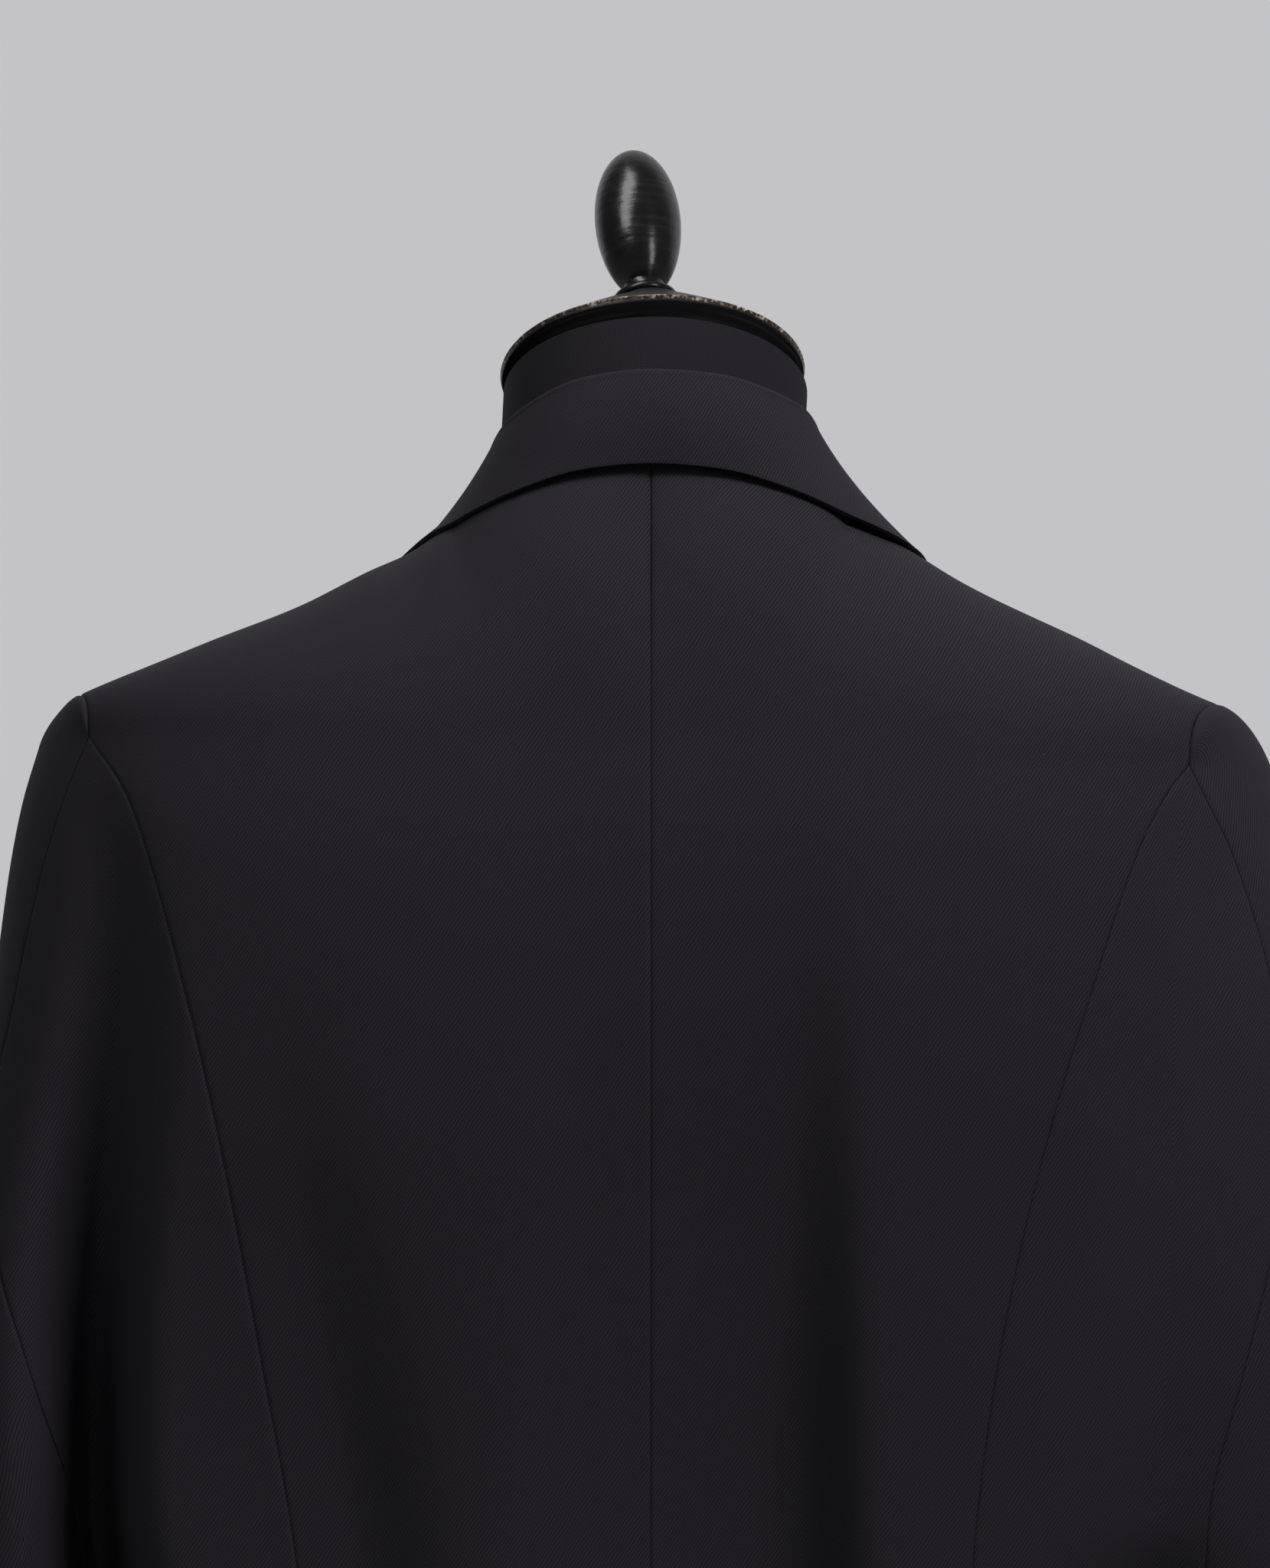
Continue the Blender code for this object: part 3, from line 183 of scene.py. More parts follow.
RIGHT_SIDE = (
    (1.336, 0.2450, 0.2062, 0.2062, 0.2062, 0.2062, 0.2062, 0.999, 0.999, 0.020, 0.020, 0.000, 0.000),
    (1.322, 0.2500, 0.1955, 0.2132, 0.2120, 0.1975, 0.2040, 0.998, 0.985, 0.020, 0.020, 0.000, 0.000),
    (1.300, 0.2570, 0.1845, 0.2237, 0.2215, 0.1870, 0.2010, 0.990, 0.960, 0.020, 0.020, 0.000, 0.000),
    (1.250, 0.2715, 0.1671, 0.2378, 0.2345, 0.1740, 0.1985, 0.970, 0.930, 0.020, 0.020, 0.000, 0.000),
    (1.200, 0.2830, 0.1515, 0.2440, 0.2410, 0.1650, 0.1975, 0.960, 0.890, 0.020, 0.022, 0.000, 0.000),
    (1.150, 0.2915, 0.1387, 0.2357, 0.2400, 0.1600, 0.1960, 0.958, 0.840, 0.020, 0.024, 0.000, 0.000),
    (1.100, 0.2975, 0.1290, 0.2228, 0.2350, 0.1570, 0.1940, 0.955, 0.760, 0.022, 0.026, 0.000, 0.000),
    (1.050, 0.3005, 0.1222, 0.2104, 0.2300, 0.1550, 0.1920, 0.940, 0.640, 0.026, 0.028, 0.000, 0.000),
    (1.010, 0.3020, 0.1190, 0.2085, 0.2270, 0.1545, 0.1905, 0.760, 0.450, 0.032, 0.029, 0.000, 0.000),
    (0.965, 0.3028, 0.1170, 0.2110, 0.2260, 0.1540, 0.1900, 0.000, 0.000, 0.040, 0.030, 0.000, 0.000),
    (0.930, 0.3030, 0.1165, 0.2185, 0.2300, 0.1542, 0.1935, 0.000, 0.000, 0.045, 0.030, 0.006, 0.010),
    (0.895, 0.3030, 0.1165, 0.2290, 0.2365, 0.1550, 0.1985, 0.000, 0.000, 0.045, 0.030, 0.009, 0.014),
    (0.860, 0.3030, 0.1170, 0.2390, 0.2430, 0.1560, 0.2040, 0.000, 0.000, 0.045, 0.030, 0.011, 0.018),
    (0.785, 0.3030, 0.1185, 0.2530, 0.2560, 0.1585, 0.2125, 0.000, 0.000, 0.045, 0.030, 0.012, 0.022),
    (0.735, 0.3030, 0.1205, 0.2560, 0.2600, 0.1600, 0.2170, 0.000, 0.000, 0.045, 0.030, 0.012, 0.024),
)

# Hanging folds, deeper than the solids' own: x above and below, the heights of start and full
# depth, the depth, half widths towards the wearer's right and left, and how suddenly the
# right bank ends (2 for a soft end)
FOLD_NAMES = "face x_top x_low z_top z_full depth right left bend"
HANGING_FOLDS = (
    (1, -0.044, -0.047, 1.345, 0.980, 0.0255, 0.0262, 0.058, 3.2),
    (1, -0.080, -0.080, 1.345, 1.000, -0.0050, 0.0500, 0.018, 2.0),
    (1, 0.155, 0.110, 1.320, 0.980, 0.0175, 0.0280, 0.080, 2.0),
    (1, 0.026, 0.024, 1.330, 1.220, 0.0020, 0.0200, 0.020, 2.0),
    (-1, 0.105, 0.095, 1.230, 0.980, 0.0060, 0.0260, 0.024, 2.0),
    (-1, -0.110, -0.098, 1.240, 0.990, 0.0070, 0.0280, 0.024, 2.0),
)

# Finer creases: signed x and z of both ends, half width and depth of the trough. A depth
# below zero raises a soft ridge.
CREASE_NAMES = "face x0 z0 x1 z1 width depth"
CREASE_REACH = 3.0
CREASE_ENDS = 0.8
CREASES = (
    (1, 0.1990, 1.190, 0.2000, 0.945, 0.0018, -0.0012),
    (1, 0.189, 1.230, 0.190, 0.930, 0.0050, 0.0010),
    (1, -0.214, 1.310, -0.2145, 1.190, 0.0080, 0.0016),
    (1, 0.262, 1.110, 0.288, 1.075, 0.0070, 0.0022),
    (1, -0.262, 1.100, -0.295, 1.060, 0.0070, 0.0022),
    (-1, 0.250, 1.120, 0.282, 1.095, 0.0060, 0.0030),
    (-1, 0.246, 1.085, 0.284, 1.070, 0.0070, 0.0035),
    (-1, 0.250, 1.045, 0.286, 1.048, 0.0060, 0.0024),
    (-1, -0.250, 1.110, -0.290, 1.090, 0.0060, 0.0030),
    (-1, -0.246, 1.075, -0.294, 1.062, 0.0070, 0.0035),
    (-1, -0.252, 1.030, -0.294, 1.036, 0.0060, 0.0024),
    (-1, 0.020, 1.062, 0.130, 1.105, 0.0060, 0.0016),
    (-1, 0.022, 1.050, 0.120, 1.030, 0.0070, 0.0014),
    (-1, -0.024, 1.060, -0.135, 1.100, 0.0060, 0.0015),
    (-1, -0.022, 1.048, -0.110, 1.020, 0.0070, 0.0013),
    (-1, 0.175, 1.290, 0.205, 1.225, 0.0080, 0.0026),
    (-1, -0.172, 1.285, -0.200, 1.215, 0.0080, 0.0026),
    (1, 0.150, 0.870, 0.148, 0.740, 0.0160, 0.0030),
    (1, -0.145, 0.900, -0.150, 0.740, 0.0170, 0.0034),
    (-1, 0.060, 0.930, 0.058, 0.740, 0.0180, 0.0024),
    (-1, -0.062, 0.920, -0.066, 0.740, 0.0180, 0.0024),
)


def smooth(low: float, high: float, value: float) -> float:
    """Give 0 below low, 1 above high and an eased ramp between them."""
    t = min(max((value - low) / (high - low), 0.0), 1.0)
    return t * t * (3.0 - 2.0 * t)


def bezier(a: Vector, b: Vector, c: Vector, d: Vector, t: float) -> Vector:
    """Give the point at t of a cubic curve."""
    s = 1.0 - t
    return a * s**3 + b * (3 * s * s * t) + c * (3 * s * t * t) + d * t**3


class Chart:
    """Named values against a key, read on a smooth curve that never overshoots."""

    def __init__(self, names: str, rows: Sequence[Row]) -> None:
        """Keep the rows in the order of their key.

        Args:
            names: The columns' names, the key first.
            rows: One row of numbers for each section.
        """
        ordered = sorted(rows)
        self.names = names.split()
        self.keys = [row[0] for row in ordered]
        self.values = {name: [row[i] for row in ordered] for i, name in enumerate(self.names)}
        self.rates = {name: self._rates(values) for name, values in self.values.items()}

    def _rates(self, values: list[float]) -> list[float]:
        """Limit the curve's slope at every row.

        Args:
            values: One column.

        Returns:
            The slope at each row.
        """
        spans = zip(self.keys, self.keys[1:], values, values[1:])
        steps = [(high - low) / (end - start) for start, end, low, high in spans]
        rates = [steps[0]]
        for before, after in zip(steps, steps[1:]):
            rates.append(2.0 * before * after / (before + after) if before * after > 0.0 else 0.0)
        return rates + [steps[-1]]

    def read(self, name: str, at: float) -> float:
        """Read one column.

        Args:
            name: The column's name.
            at: The key to read it at.

        Returns:
            The value there, or the end row's value past the ends.
        """
        keys, values, rates = self.keys, self.values[name], self.rates[name]
        if at <= keys[0]:
            return values[0]
        if at >= keys[-1]:
            return values[-1]
        low = max(i for i, key in enumerate(keys) if key <= at)
        span = keys[low + 1] - keys[low]
        t = (at - keys[low]) / span
        rise = values[low + 1] - values[low]
        eased = values[low] + rise * (3.0 - 2.0 * t) * t * t
        start = span * rates[low] * t * (1.0 - t) ** 2
        end = span * rates[low + 1] * (t - 1.0) * t * t
        return eased + start + end


# Rises of the shoulders beside the collar: x and y of the middle, half widths, and height
NECK_SWELL = (
    (-0.092, 0.012, 0.019, 0.035, 0.0050),
    (0.066, 0.020, 0.010, 0.030, -0.0020),
)

# Unevenness of worn cloth: how close its waves are along x and z, where the pattern of each
# face starts, and its height
UNEVEN = (
    (9.0, 5.0, 3.0, 0.0009),
    (30.0, 16.0, 7.0, 0.0002),
)

DEPTHS = Chart(DEPTH_NAMES, DEPTH)
FOLDS = [dict(zip(FOLD_NAMES.split(), row)) for row in HANGING_FOLDS]
CREASE_ROWS = [dict(zip(CREASE_NAMES.split(), row)) for row in CREASES]


def crease_pull(x: float, z: float, face: Face) -> float:
    """Add up how far the finer creases pull the cloth in.

    Args:
        x: Signed distance from the centre line.
        z: Height.
        face: Back or front.

    Returns:
        Depth in metres, above zero into the garment.
    """
    total = 0.0
    for row in CREASE_ROWS:
        if row["face"] != face.value or x * row["x0"] < 0.0:
            continue
        along_x, along_z = row["x1"] - row["x0"], row["z1"] - row["z0"]
        length = math.hypot(along_x, along_z)
        t = ((x - row["x0"]) * along_x + (z - row["z0"]) * along_z) / length**2
        if not 0.0 < t < 1.0:
            continue
        away = ((x - row["x0"]) * along_z - (z - row["z0"]) * along_x) / length
        if abs(away) < CREASE_REACH * row["width"]:
            ends = math.sin(math.pi * t) ** CREASE_ENDS
            total += row["depth"] * ends * math.exp(-((away / row["width"]) ** 2))
    return total


def neck_swell(spot: Vector) -> float:
    """Give how far the shoulder is raised or lowered at a point beside the collar.

    Args:
        spot: The point.

    Returns:
        The rise in metres.
    """
    total = 0.0
    for x, y, wide, deep, height in NECK_SWELL:
        total += height * math.exp(-(((spot.x - x) / wide) ** 2) - ((spot.y - y) / deep) ** 2)
    return total


def lie_of_cloth(x: float, z: float, face: Face) -> float:
    """Give the slow unevenness of cloth that has been worn, in metres.

    Args:
        x: Signed distance from the centre line.
        z: Height.
        face: Back or front.

    Returns:
        Depth in metres, above zero into the garment.
    """
    total = 0.0
    for close_x, close_z, start, height in UNEVEN:
        total += height * noise.noise(Vector((x * close_x, start * face.value, z * close_z)))
    return total


class Section:
    """All the sizes of one half of the garment at one height."""

    def __init__(self, chart: Chart, z: float, over_arm: bool, crisp: float) -> None:
        """Read every size once.

        Args:
            chart: The half's own chart of seams and folds.
            z: Height.
            over_arm: True above the armpit, where body and sleeve are one surface.
            crisp: How sharply the back turns in to the fold, 2 for a soft turn.
        """
        self.z = z
        self.over_arm = over_arm
        self.crisp = crisp
        for name in chart.names[1:]:
            setattr(self, name, chart.read(name, z))
        for name in DEPTHS.names[1:]:
            setattr(self, name, DEPTHS.read(name, z))

    def pinch(self, x: float, face: Face) -> float:
        """Give the share of the depth that the fold behind the arm leaves at x.

        Args:
            x: Distance from the centre line.
            face: Back or front.

        Returns:
            The share, 1 well away from the fold.
        """
        inside = x < self.fold
        width = self.near if inside else self.far
        bend = SOFT_BEND
        if inside and face is Face.BACK:
            width += BEND_WIDENS * (self.crisp - SOFT_BEND)
            bend = self.crisp
        reach = (x - self.fold) / width
        if self.over_arm:
            left = min(self.open if face is Face.BACK else self.front_open, MOST_OPEN)
            power = abs(reach) ** bend - math.log(1.0 - left * left)
        else:
            edge = (self.body_gap if inside else self.sleeve_gap) / width
            power = reach * reach - edge * edge
        return math.sqrt(max(1.0 - math.exp(-max(power, 0.0)), 0.0))

    def y(self, x: float, face: Face, sign: float) -> float:
        """Find the outer surface.

        Args:
            x: Distance from the centre line.
            face: Back or front.
            sign: 1 on the wearer's left and -1 on the right.

        Returns:
            Y of the surface.
        """
        share = math.sqrt(max(1.0 - min(x / self.outer, 1.0) ** SECTION_POWER, 0.0))
        blend = smooth(self.fold - BLEND, self.fold + BLEND, x)
        behind = face is Face.BACK
        body = self.back if behind else self.front
        sleeve = self.sleeve_back if behind else self.sleeve_front
        reach = (body + (sleeve - body) * blend) * share * self.pinch(x, face)
        signed = sign * x
        pulled = self.hanging(signed, face) + crease_pull(signed, self.z, face)
        pulled += lie_of_cloth(signed, self.z, face)
        pulled *= smooth(0.0, EDGE_EASE, reach)
        return blend * self.sleeve_y + face.value * max(reach - pulled, 0.0)

    def hanging(self, x: float, face: Face) -> float:
        """Add up how far the hanging folds pull the surface in.

        Args:
            x: Signed distance from the centre line.
            face: Back or front.

        Returns:
            Depth in metres, above zero into the garment.
        """
        total = 0.0
        for fold in FOLDS:
            if fold["face"] != face.value:
                continue
            ramp = smooth(0.0, fold["z_top"] - fold["z_full"], fold["z_top"] - self.z)
            centre = fold["x_top"] + (fold["x_low"] - fold["x_top"]) * ramp
            offset = x - centre
            if offset > 0.0:
                away = (offset / fold["left"]) ** 2
            else:
                away = abs(offset / fold["right"]) ** fold["bend"]
            total += ramp * fold["depth"] * math.exp(-away)
        return total


@dataclass
class Half:
    """One half of the garment."""

    name: str
    sign: float
    rows: Sequence[Row]
    armpit_z: float
    tip: Vector
    ridge: Sequence[Row]
    crispness: float
    chart: Chart = field(init=False)
    shoulder: Chart = field(init=False)
    tip_z: float = field(init=False)
    known: dict[float, Section] = field(init=False, default_factory=dict)

    CRISP_TOP: ClassVar[float] = 1.200
    CRISP_START: ClassVar[float] = 0.080
    CRISP_END: ClassVar[tuple[float, float]] = (0.005, 0.055)
    TIP_DROPS: ClassVar[Row] = (0.0, 0.0015, 0.0035, 0.006, 0.009, 0.013)

    def __post_init__(self) -> None:
        """Set up the half's charts."""
        self.chart = Chart(SIDE_NAMES, self.rows)
        self.shoulder = Chart(RIDGE_NAMES, self.ridge)
        self.tip_z = self.chart.keys[-1]

    def section(self, z: float) -> Section:
        """Give the sizes at a height, read once.

        Args:
            z: Height.

        Returns:
            The section.
        """
        if z not in self.known:
            share = smooth(0.0, self.CRISP_START, self.CRISP_TOP - z)
            share *= smooth(*self.CRISP_END, z - self.armpit_z)
            crisp = SOFT_BEND + self.crispness * share
            self.known[z] = Section(self.chart, z, z >= self.armpit_z, crisp)
        return self.known[z]

    def place(self, x: float, z: float, face: Face) -> Vector:
        """Give the point of the outer surface at distance x and height z."""
        return Vector((self.sign * x, self.section(z).y(abs(x), face, self.sign), z))

    def levels(self) -> list[float]:
        """List the heights of the net's rows from the panel's tip to the hem.

        Returns:
            The heights, falling.
        """
        out = [self.tip_z - drop for drop in self.TIP_DROPS]
        for low, step in ((self.armpit_z, 0.0054), (CUFF_Z, 0.0060), (HEM_Z, 0.0062)):
            top = out[-1]
            count = round((top - low) / step)
            out += [top + (low - top) * (i + 1) / count for i in range(count)]
        return out


LEFT = Half("left", 1.0, LEFT_SIDE, 0.985, Vector((0.2245, 0.002, 1.3650)), LEFT_RIDGE, 1.2)
RIGHT = Half("right", -1.0, RIGHT_SIDE, 0.965, Vector((-0.2245, 0.002, 1.3622)), RIGHT_RIDGE, 0.0)
SEAM_STEPS = (0.0, 0.0004, 0.0009, 0.0016, 0.0028)
SEAM_ROOM = 0.3
FAR_FROM_SEAMS = 1.0
YOKE_MARGIN = 0.01


@dataclass
class Net:
    """Points of one stretch of a cut piece, with each point's distance from its seams."""

    rows: list[Points]
    seam: list[list[float]]
    turned: bool
    grain: float = 1.0
    starts: list[float] | None = None
    sideways: bool = False

    def mesh(self, joined: BMesh) -> None:
        """Lay a flat grid on the points and add it to a piece.

        Args:
            joined: The piece's mesh, which has a UV map and a seam layer.
        """
        down, across = len(self.rows) - 1, len(self.rows[0]) - 1
        uv_layer = joined.loops.layers.uv["UVMap"]
        seam_layer = joined.verts.layers.float["seam"]
        made = bmesh.ops.create_grid(joined, x_segments=across, y_segments=down, size=1.0)
        spots = {}
        for vert in made["verts"]:
            c = round((vert.co.x + 1.0) * 0.5 * across)
            r = round((vert.co.y + 1.0) * 0.5 * down)
            spots[vert] = (r, c)
        across_map, down_map = self._turned_lengths() if self.sideways else self._lengths()
        faces = list({face for vert in made["verts"] for face in vert.link_faces})
        for face in faces:
            for loop in face.loops:
                r, c = spots[loop.vert]
                loop[uv_layer].uv = (self.grain * across_map[r][c], down_map[r][c])
        for vert, (r, c) in spots.items():
            vert.co = self.rows[r][c]
            vert[seam_layer] = self.seam[r][c]
        if self.turned:
            bmesh.ops.reverse_faces(joined, faces=faces)

    def _turned_lengths(self) -> tuple[list[list[float]], list[list[float]]]:
        """Measure a net whose rows hang down: along the rows' order first, then down each row.

        Returns:
            The ways across the grain and the ways up it, row by row.
        """
        middle = len(self.rows) // 2
        across_map = [[0.0] * len(self.rows[0]) for _ in self.rows]
        down_map = []
        for row in self.rows:
            run = [0.0]
            for a, b in zip(row, row[1:]):
                run.append(run[-1] - (b - a).length)
            down_map.append(run)
        for way in (1, -1):
            r = middle
            while 0 <= r + way < len(self.rows):
                for c, spot in enumerate(self.rows[r + way]):
                    step = (spot - self.rows[r][c]).length
                    across_map[r + way][c] = across_map[r][c] + way * step
                r += way
        return across_map, down_map

    def _lengths(self) -> tuple[list[list[float]], list[list[float]]]:
        """Measure every point's way across the grain and up it from the last row.

        Returns:
            The ways across and the ways up, row by row.
        """
        starts = self.starts or [0.0] * len(self.rows)
        across_map, down_map = [], [[0.0] * len(self.rows[0]) for _ in self.rows]
        for start, row in zip(starts, self.rows):
            run = [start]
            for a, b in zip(row, row[1:]):
                run.append(run[-1] + (b - a).length)
            across_map.append(run)
        for r in range(len(self.rows) - 2, -1, -1):
            for c, spot in enumerate(self.rows[r]):
                step = spot - self.rows[r + 1][c]
                forward = step.y if spot.z > YOKE_Z - YOKE_MARGIN else 0.0
                down_map[r][c] = down_map[r + 1][c] + math.hypot(forward, step.z)
        return across_map, down_map


def spread(
    start: float, end: float, count: int, seams: tuple[bool, bool], bunch: float = 0.0
) -> list[float]:
    """Space distances across a row, close together beside its seams.

    Args:
        start: First distance.
        end: Last distance.
        count: Number of even steps between the seams.
        seams: Whether the row starts and ends at a seam.
        bunch: 1 gathers the steps where the surface turns at the end.

    Returns:
        The distances, the same number for every row of a net.
    """
    width = end - start
    scale = math.copysign(min(1.0, abs(width) * SEAM_ROOM / SEAM_STEPS[-1]), width)
    head = [start + scale * step for step in SEAM_STEPS] if seams[0] else [start]
    tail = [end - scale * step for step in reversed(SEAM_STEPS)] if seams[1] else [end]
    low, high = head[-1], tail[0]
    inner = []
    for i in range(1, count):
        t = i / count
        t += (math.sin(0.5 * math.pi * t) - t) * bunch
        inner.append(low + (high - low) * t)
    return head + inner + tail


def seam_distances(row: Points, seams: tuple[bool, bool]) -> list[float]:
    """Measure how far each point of a row lies from the row's seams.

    Args:
        row: The points.
        seams: Whether the row starts and ends at a seam.

    Returns:
        The distances.
    """
    out = []
    for spot in row:
        away = [(spot - row[end]).length for end, sewn in ((0, seams[0]), (-1, seams[1])) if sewn]
        out.append(min(away, default=FAR_FROM_SEAMS))
    return out


def net_seams(rows: Sequence[Points], line: Points, sewn: tuple[bool, bool]) -> list[list[float]]:
    """Measure how far a net's points lie from a sewn line and from the seams at the rows' ends.

    Args:
        rows: The net's rows.
        line: The line, with a point for each of a row's.
        sewn: Whether the rows start and end at a seam.

    Returns:
        The distances, row by row.
    """
    out = []
    for row in rows:
        away = [(spot - end).length for spot, end in zip(row, line)]
        out.append([min(pair) for pair in zip(away, seam_distances(row, sewn))])
    return out


def free_of_seams(rows: Sequence[Points]) -> list[list[float]]:
    """Give the seam distances of a net that no seam touches."""
    return [[FAR_FROM_SEAMS] * len(row) for row in rows]


NAPE_POWER = 1.3
NAPE_LEAN = 0.30
TIP_DROP_FROM = 0.6


def shoulder_spot(half: Half, s: float) -> tuple[Vector, Vector]:
    """Give the top edge of the back: along the neck, then along the shoulder line.

    Args:
        half: The half of the garment.
        s: Share of the way from the centre back to the shoulder tip.

    Returns:
        The point, and the direction of the cloth there.
    """
    if s < NECK_SHARE:
        angle = 0.5 * math.pi * s / NECK_SHARE
        x = NECK_POINT_X * math.sin(angle)
        y = RIDGE_Y + (NAPE_Y - RIDGE_Y) * math.cos(angle)
        z = NECK_POINT_Z + (NAPE_Z - NECK_POINT_Z) * math.cos(angle) ** NAPE_POWER
        way = Vector((0.0, -math.sin(angle) - NAPE_LEAN * math.cos(angle), math.cos(angle)))
        return Vector((half.sign * x, y, z)), way.normalized()
    t = (s - NECK_SHARE) / (1.0 - NECK_SHARE)
    x = NECK_POINT_X + (abs(half.tip.x) - NECK_POINT_X) * t
    y = RIDGE_Y + (half.tip.y - RIDGE_Y) * t
    drop = half.tip.z - half.shoulder.read("z", abs(half.tip.x))
    drop *= smooth(TIP_DROP_FROM, 1.0, t)
    return Vector((half.sign * x, y, half.shoulder.read("z", x) + drop)), Vector((0.0, -1.0, 0.0))


def roll_x(z: float) -> float:
    """Give the distance of the front's free edge from the centre."""
    t = (z - BREAK_Z) / (NECK_POINT_Z - BREAK_Z)
    return -FRONT_OVERLAP + (NECK_POINT_X + FRONT_OVERLAP) * min(max(t, 0.0), 1.0)


def front_lay(half: Half, x: float, z: float) -> float:
    """Give how far the left front stands out to lie over the right one and its lapel.

    Args:
        half: The half of the garment.
        x: Distance from the centre line.
        z: Height.

    Returns:
        The distance forward, 0 on the right half.
    """
    if half.sign < 0.0:
        return 0.0
    above = z - BREAK_Z
    over_front = (WALL + 2.0 * LAY_GAP) * (1.0 - smooth(*OVER_FRONT, above))
    over_lapel = LAPEL_ROOM * smooth(-BELOW_BREAK, 0.0, above) * (1.0 - smooth(*OVER_LAPEL, above))
    return (over_front + over_lapel) * (1.0 - smooth(*ROOM_ENDS, x))


def row_level(half: Half, z: float, s: float) -> float:
    """Lift the rows near the yoke towards the centre, so that they meet it at one level."""
    lift = 1.0 - smooth(0.0, YOKE_EASE, half.tip_z - z)
    return z + (YOKE_Z - half.tip_z) * (1.0 - s * s) * lift


@dataclass
class Panel:
    """A cut panel of one half of the garment."""

    half: Half


class BackPanel(Panel):
    """A back panel: from the hem up and over the shoulder to the seam in front of it."""

    COLUMNS = (20, 40)
    YOKE_ROWS = 42
    OVER = (0.0, 0.03, 0.06, 0.09, 0.12, 0.140, 0.150, 0.155, 0.160)
    FLAT_END = 0.2

    def shares(self, z: float) -> list[float]:
        """Space the columns from the centre back to the side-back seam.

        Args:
            z: The row's height.

        Returns:
            Shares of the panel's width.
        """
        width = self.half.section(z).princess
        steps = [step / width for step in SEAM_STEPS[1:]]
        inner = spread(steps[-1], NECK_SHARE, self.COLUMNS[0], (False, False))
        outer = spread(NECK_SHARE, 1.0 - steps[-1], self.COLUMNS[1], (False, False))
        ends = [1.0 - step for step in reversed(steps)]
        return [0.0, *steps, *inner[1:], *outer[1:-1], *ends, 1.0]

    def low_row(self, z: float) -> Points:
        """Lay one row below the yoke.

        Args:
            z: The row's height at the seam.

        Returns:
            The row.
        """
        half = self.half
        width = half.section(z).princess
        return [half.place(width * s, row_level(half, z, s), Face.BACK) for s in self.shares(z)]

    def yoke_spot(self, s: float, t: float) -> Vector:
        """Give a point of the yoke's back.

        Args:
            s: Share of the way from the centre back to the armhole.
            t: Share of the way from the yoke's low end to the shoulder.

        Returns:
            The point.
        """
        half = self.half
        width = half.section(half.tip_z).princess
        low = half.place(width * s, row_level(half, half.tip_z, s), Face.BACK)
        high, way = shoulder_spot(half, s)
        reach = (high - low).length * HANDLE
        spot = bezier(low, low + BACK_WAY * reach, high - way * reach, high, t)
        ease = math.sin(math.pi * t) * smooth(0.0, self.FLAT_END, 1.0 - t)
        return spot - Vector((0.0, lie_of_cloth(spot.x, spot.z, Face.BACK) * ease, 0.0))

    def nets(self) -> list[Net]:
        """Lay the panel's two nets: the back itself and its reach over the shoulder.

        Returns:
            The nets, the back itself first.
        """
        half = self.half
        shares = self.shares(half.tip_z)
        rows = []
        for r in range(self.YOKE_ROWS, 0, -1):
            t = math.sin(0.5 * math.pi * r / self.YOKE_ROWS)
            rows.append([self.yoke_spot(s, t) for s in shares])
        rows += [self.low_row(z) for z in half.levels()]
        flip = half.sign < 0.0
        seams = [seam_distances(row, (True, True)) for row in rows]
        main = Net(rows, seams, flip, half.sign)

        start = next(i for i, s in enumerate(shares) if s >= NECK_SHARE - LEAST)
        front = FrontPanel(half)
        across = [(s - NECK_SHARE) / (1.0 - NECK_SHARE) for s in shares[start:]]
        over = [[front.yoke_spot(s, t) for s in across] for t in self.OVER]
        return [main, Net(over, net_seams(over, over[-1], (False, True)), not flip, half.sign)]


class FrontPanel(Panel):
    """A front: from the shoulder seam to the hem, with its free edge on the roll line."""

    COLUMNS = 46
    NEAR_SEAM = (0.0, 0.005, 0.010, 0.020)
    BELOW = 34

    def spot(self, s: float, z: float) -> Vector:
        """Give a point of a row below the yoke.

        Args:
            s: Share of the way from the free edge to the side-front seam.
            z: The row's height at the seam.

        Returns:
            The point.
        """
        half = self.half
        level = row_level(half, z, s)
        seam = half.section(z).front_seam
        edge = roll_x(level)
        x = edge + (seam - edge) * s
        place = half.place(abs(x), level, Face.FRONT)
        return Vector((half.sign * x, place.y - front_lay(half, x, level), level))

    def yoke_spot(self, s: float, t: float) -> Vector:
        """Give a point of the yoke in front.

        Args:
            s: Share of the way from the free edge to the armhole.
            t: Share of the way from the shoulder line down to the yoke's low end.

        Returns:
            The point.
        """
        high, way = shoulder_spot(self.half, NECK_SHARE + (1.0 - NECK_SHARE) * s)
        low = self.spot(s, self.half.tip_z)
        reach = (high - low).length * HANDLE
        return bezier(high, high + way * reach, low + FRONT_WAY * reach, low, t)

    def shares(self, z: float) -> list[float]:
        """Space the columns from the free edge to the side-front seam.

        Args:
            z: The row's height.

        Returns:
            Shares of the panel's width.
        """
        seam = self.half.section(z).front_seam
        width = seam - roll_x(z)
        steps = [step / width for step in SEAM_STEPS[1:]]
        even = spread(0.0, 1.0 - steps[-1], self.COLUMNS, (False, False))
        return [*even[:-1], *[1.0 - step for step in reversed(steps)], 1.0]

    def nets(self) -> list[Net]:
        """Lay the front's one net.

        Returns:
            The net.
        """
        half = self.half
        shares = self.shares(half.tip_z)
        last = self.NEAR_SEAM[-1]
        below = [last + (1.0 - SEAM_SHARE - last) * i / self.BELOW for i in range(1, self.BELOW)]
        drops = [*self.NEAR_SEAM, *below]
        rows = [[self.yoke_spot(s, SEAM_SHARE + t) for s in shares] for t in drops]
        rows += [[self.spot(s, z) for s in self.shares(z)] for z in half.levels()]
        seams = net_seams(rows, rows[0], (False, True))
        starts = [half.sign * row[0].x for row in rows]
        return [Net(rows, seams, half.sign > 0.0, -half.sign, starts)]


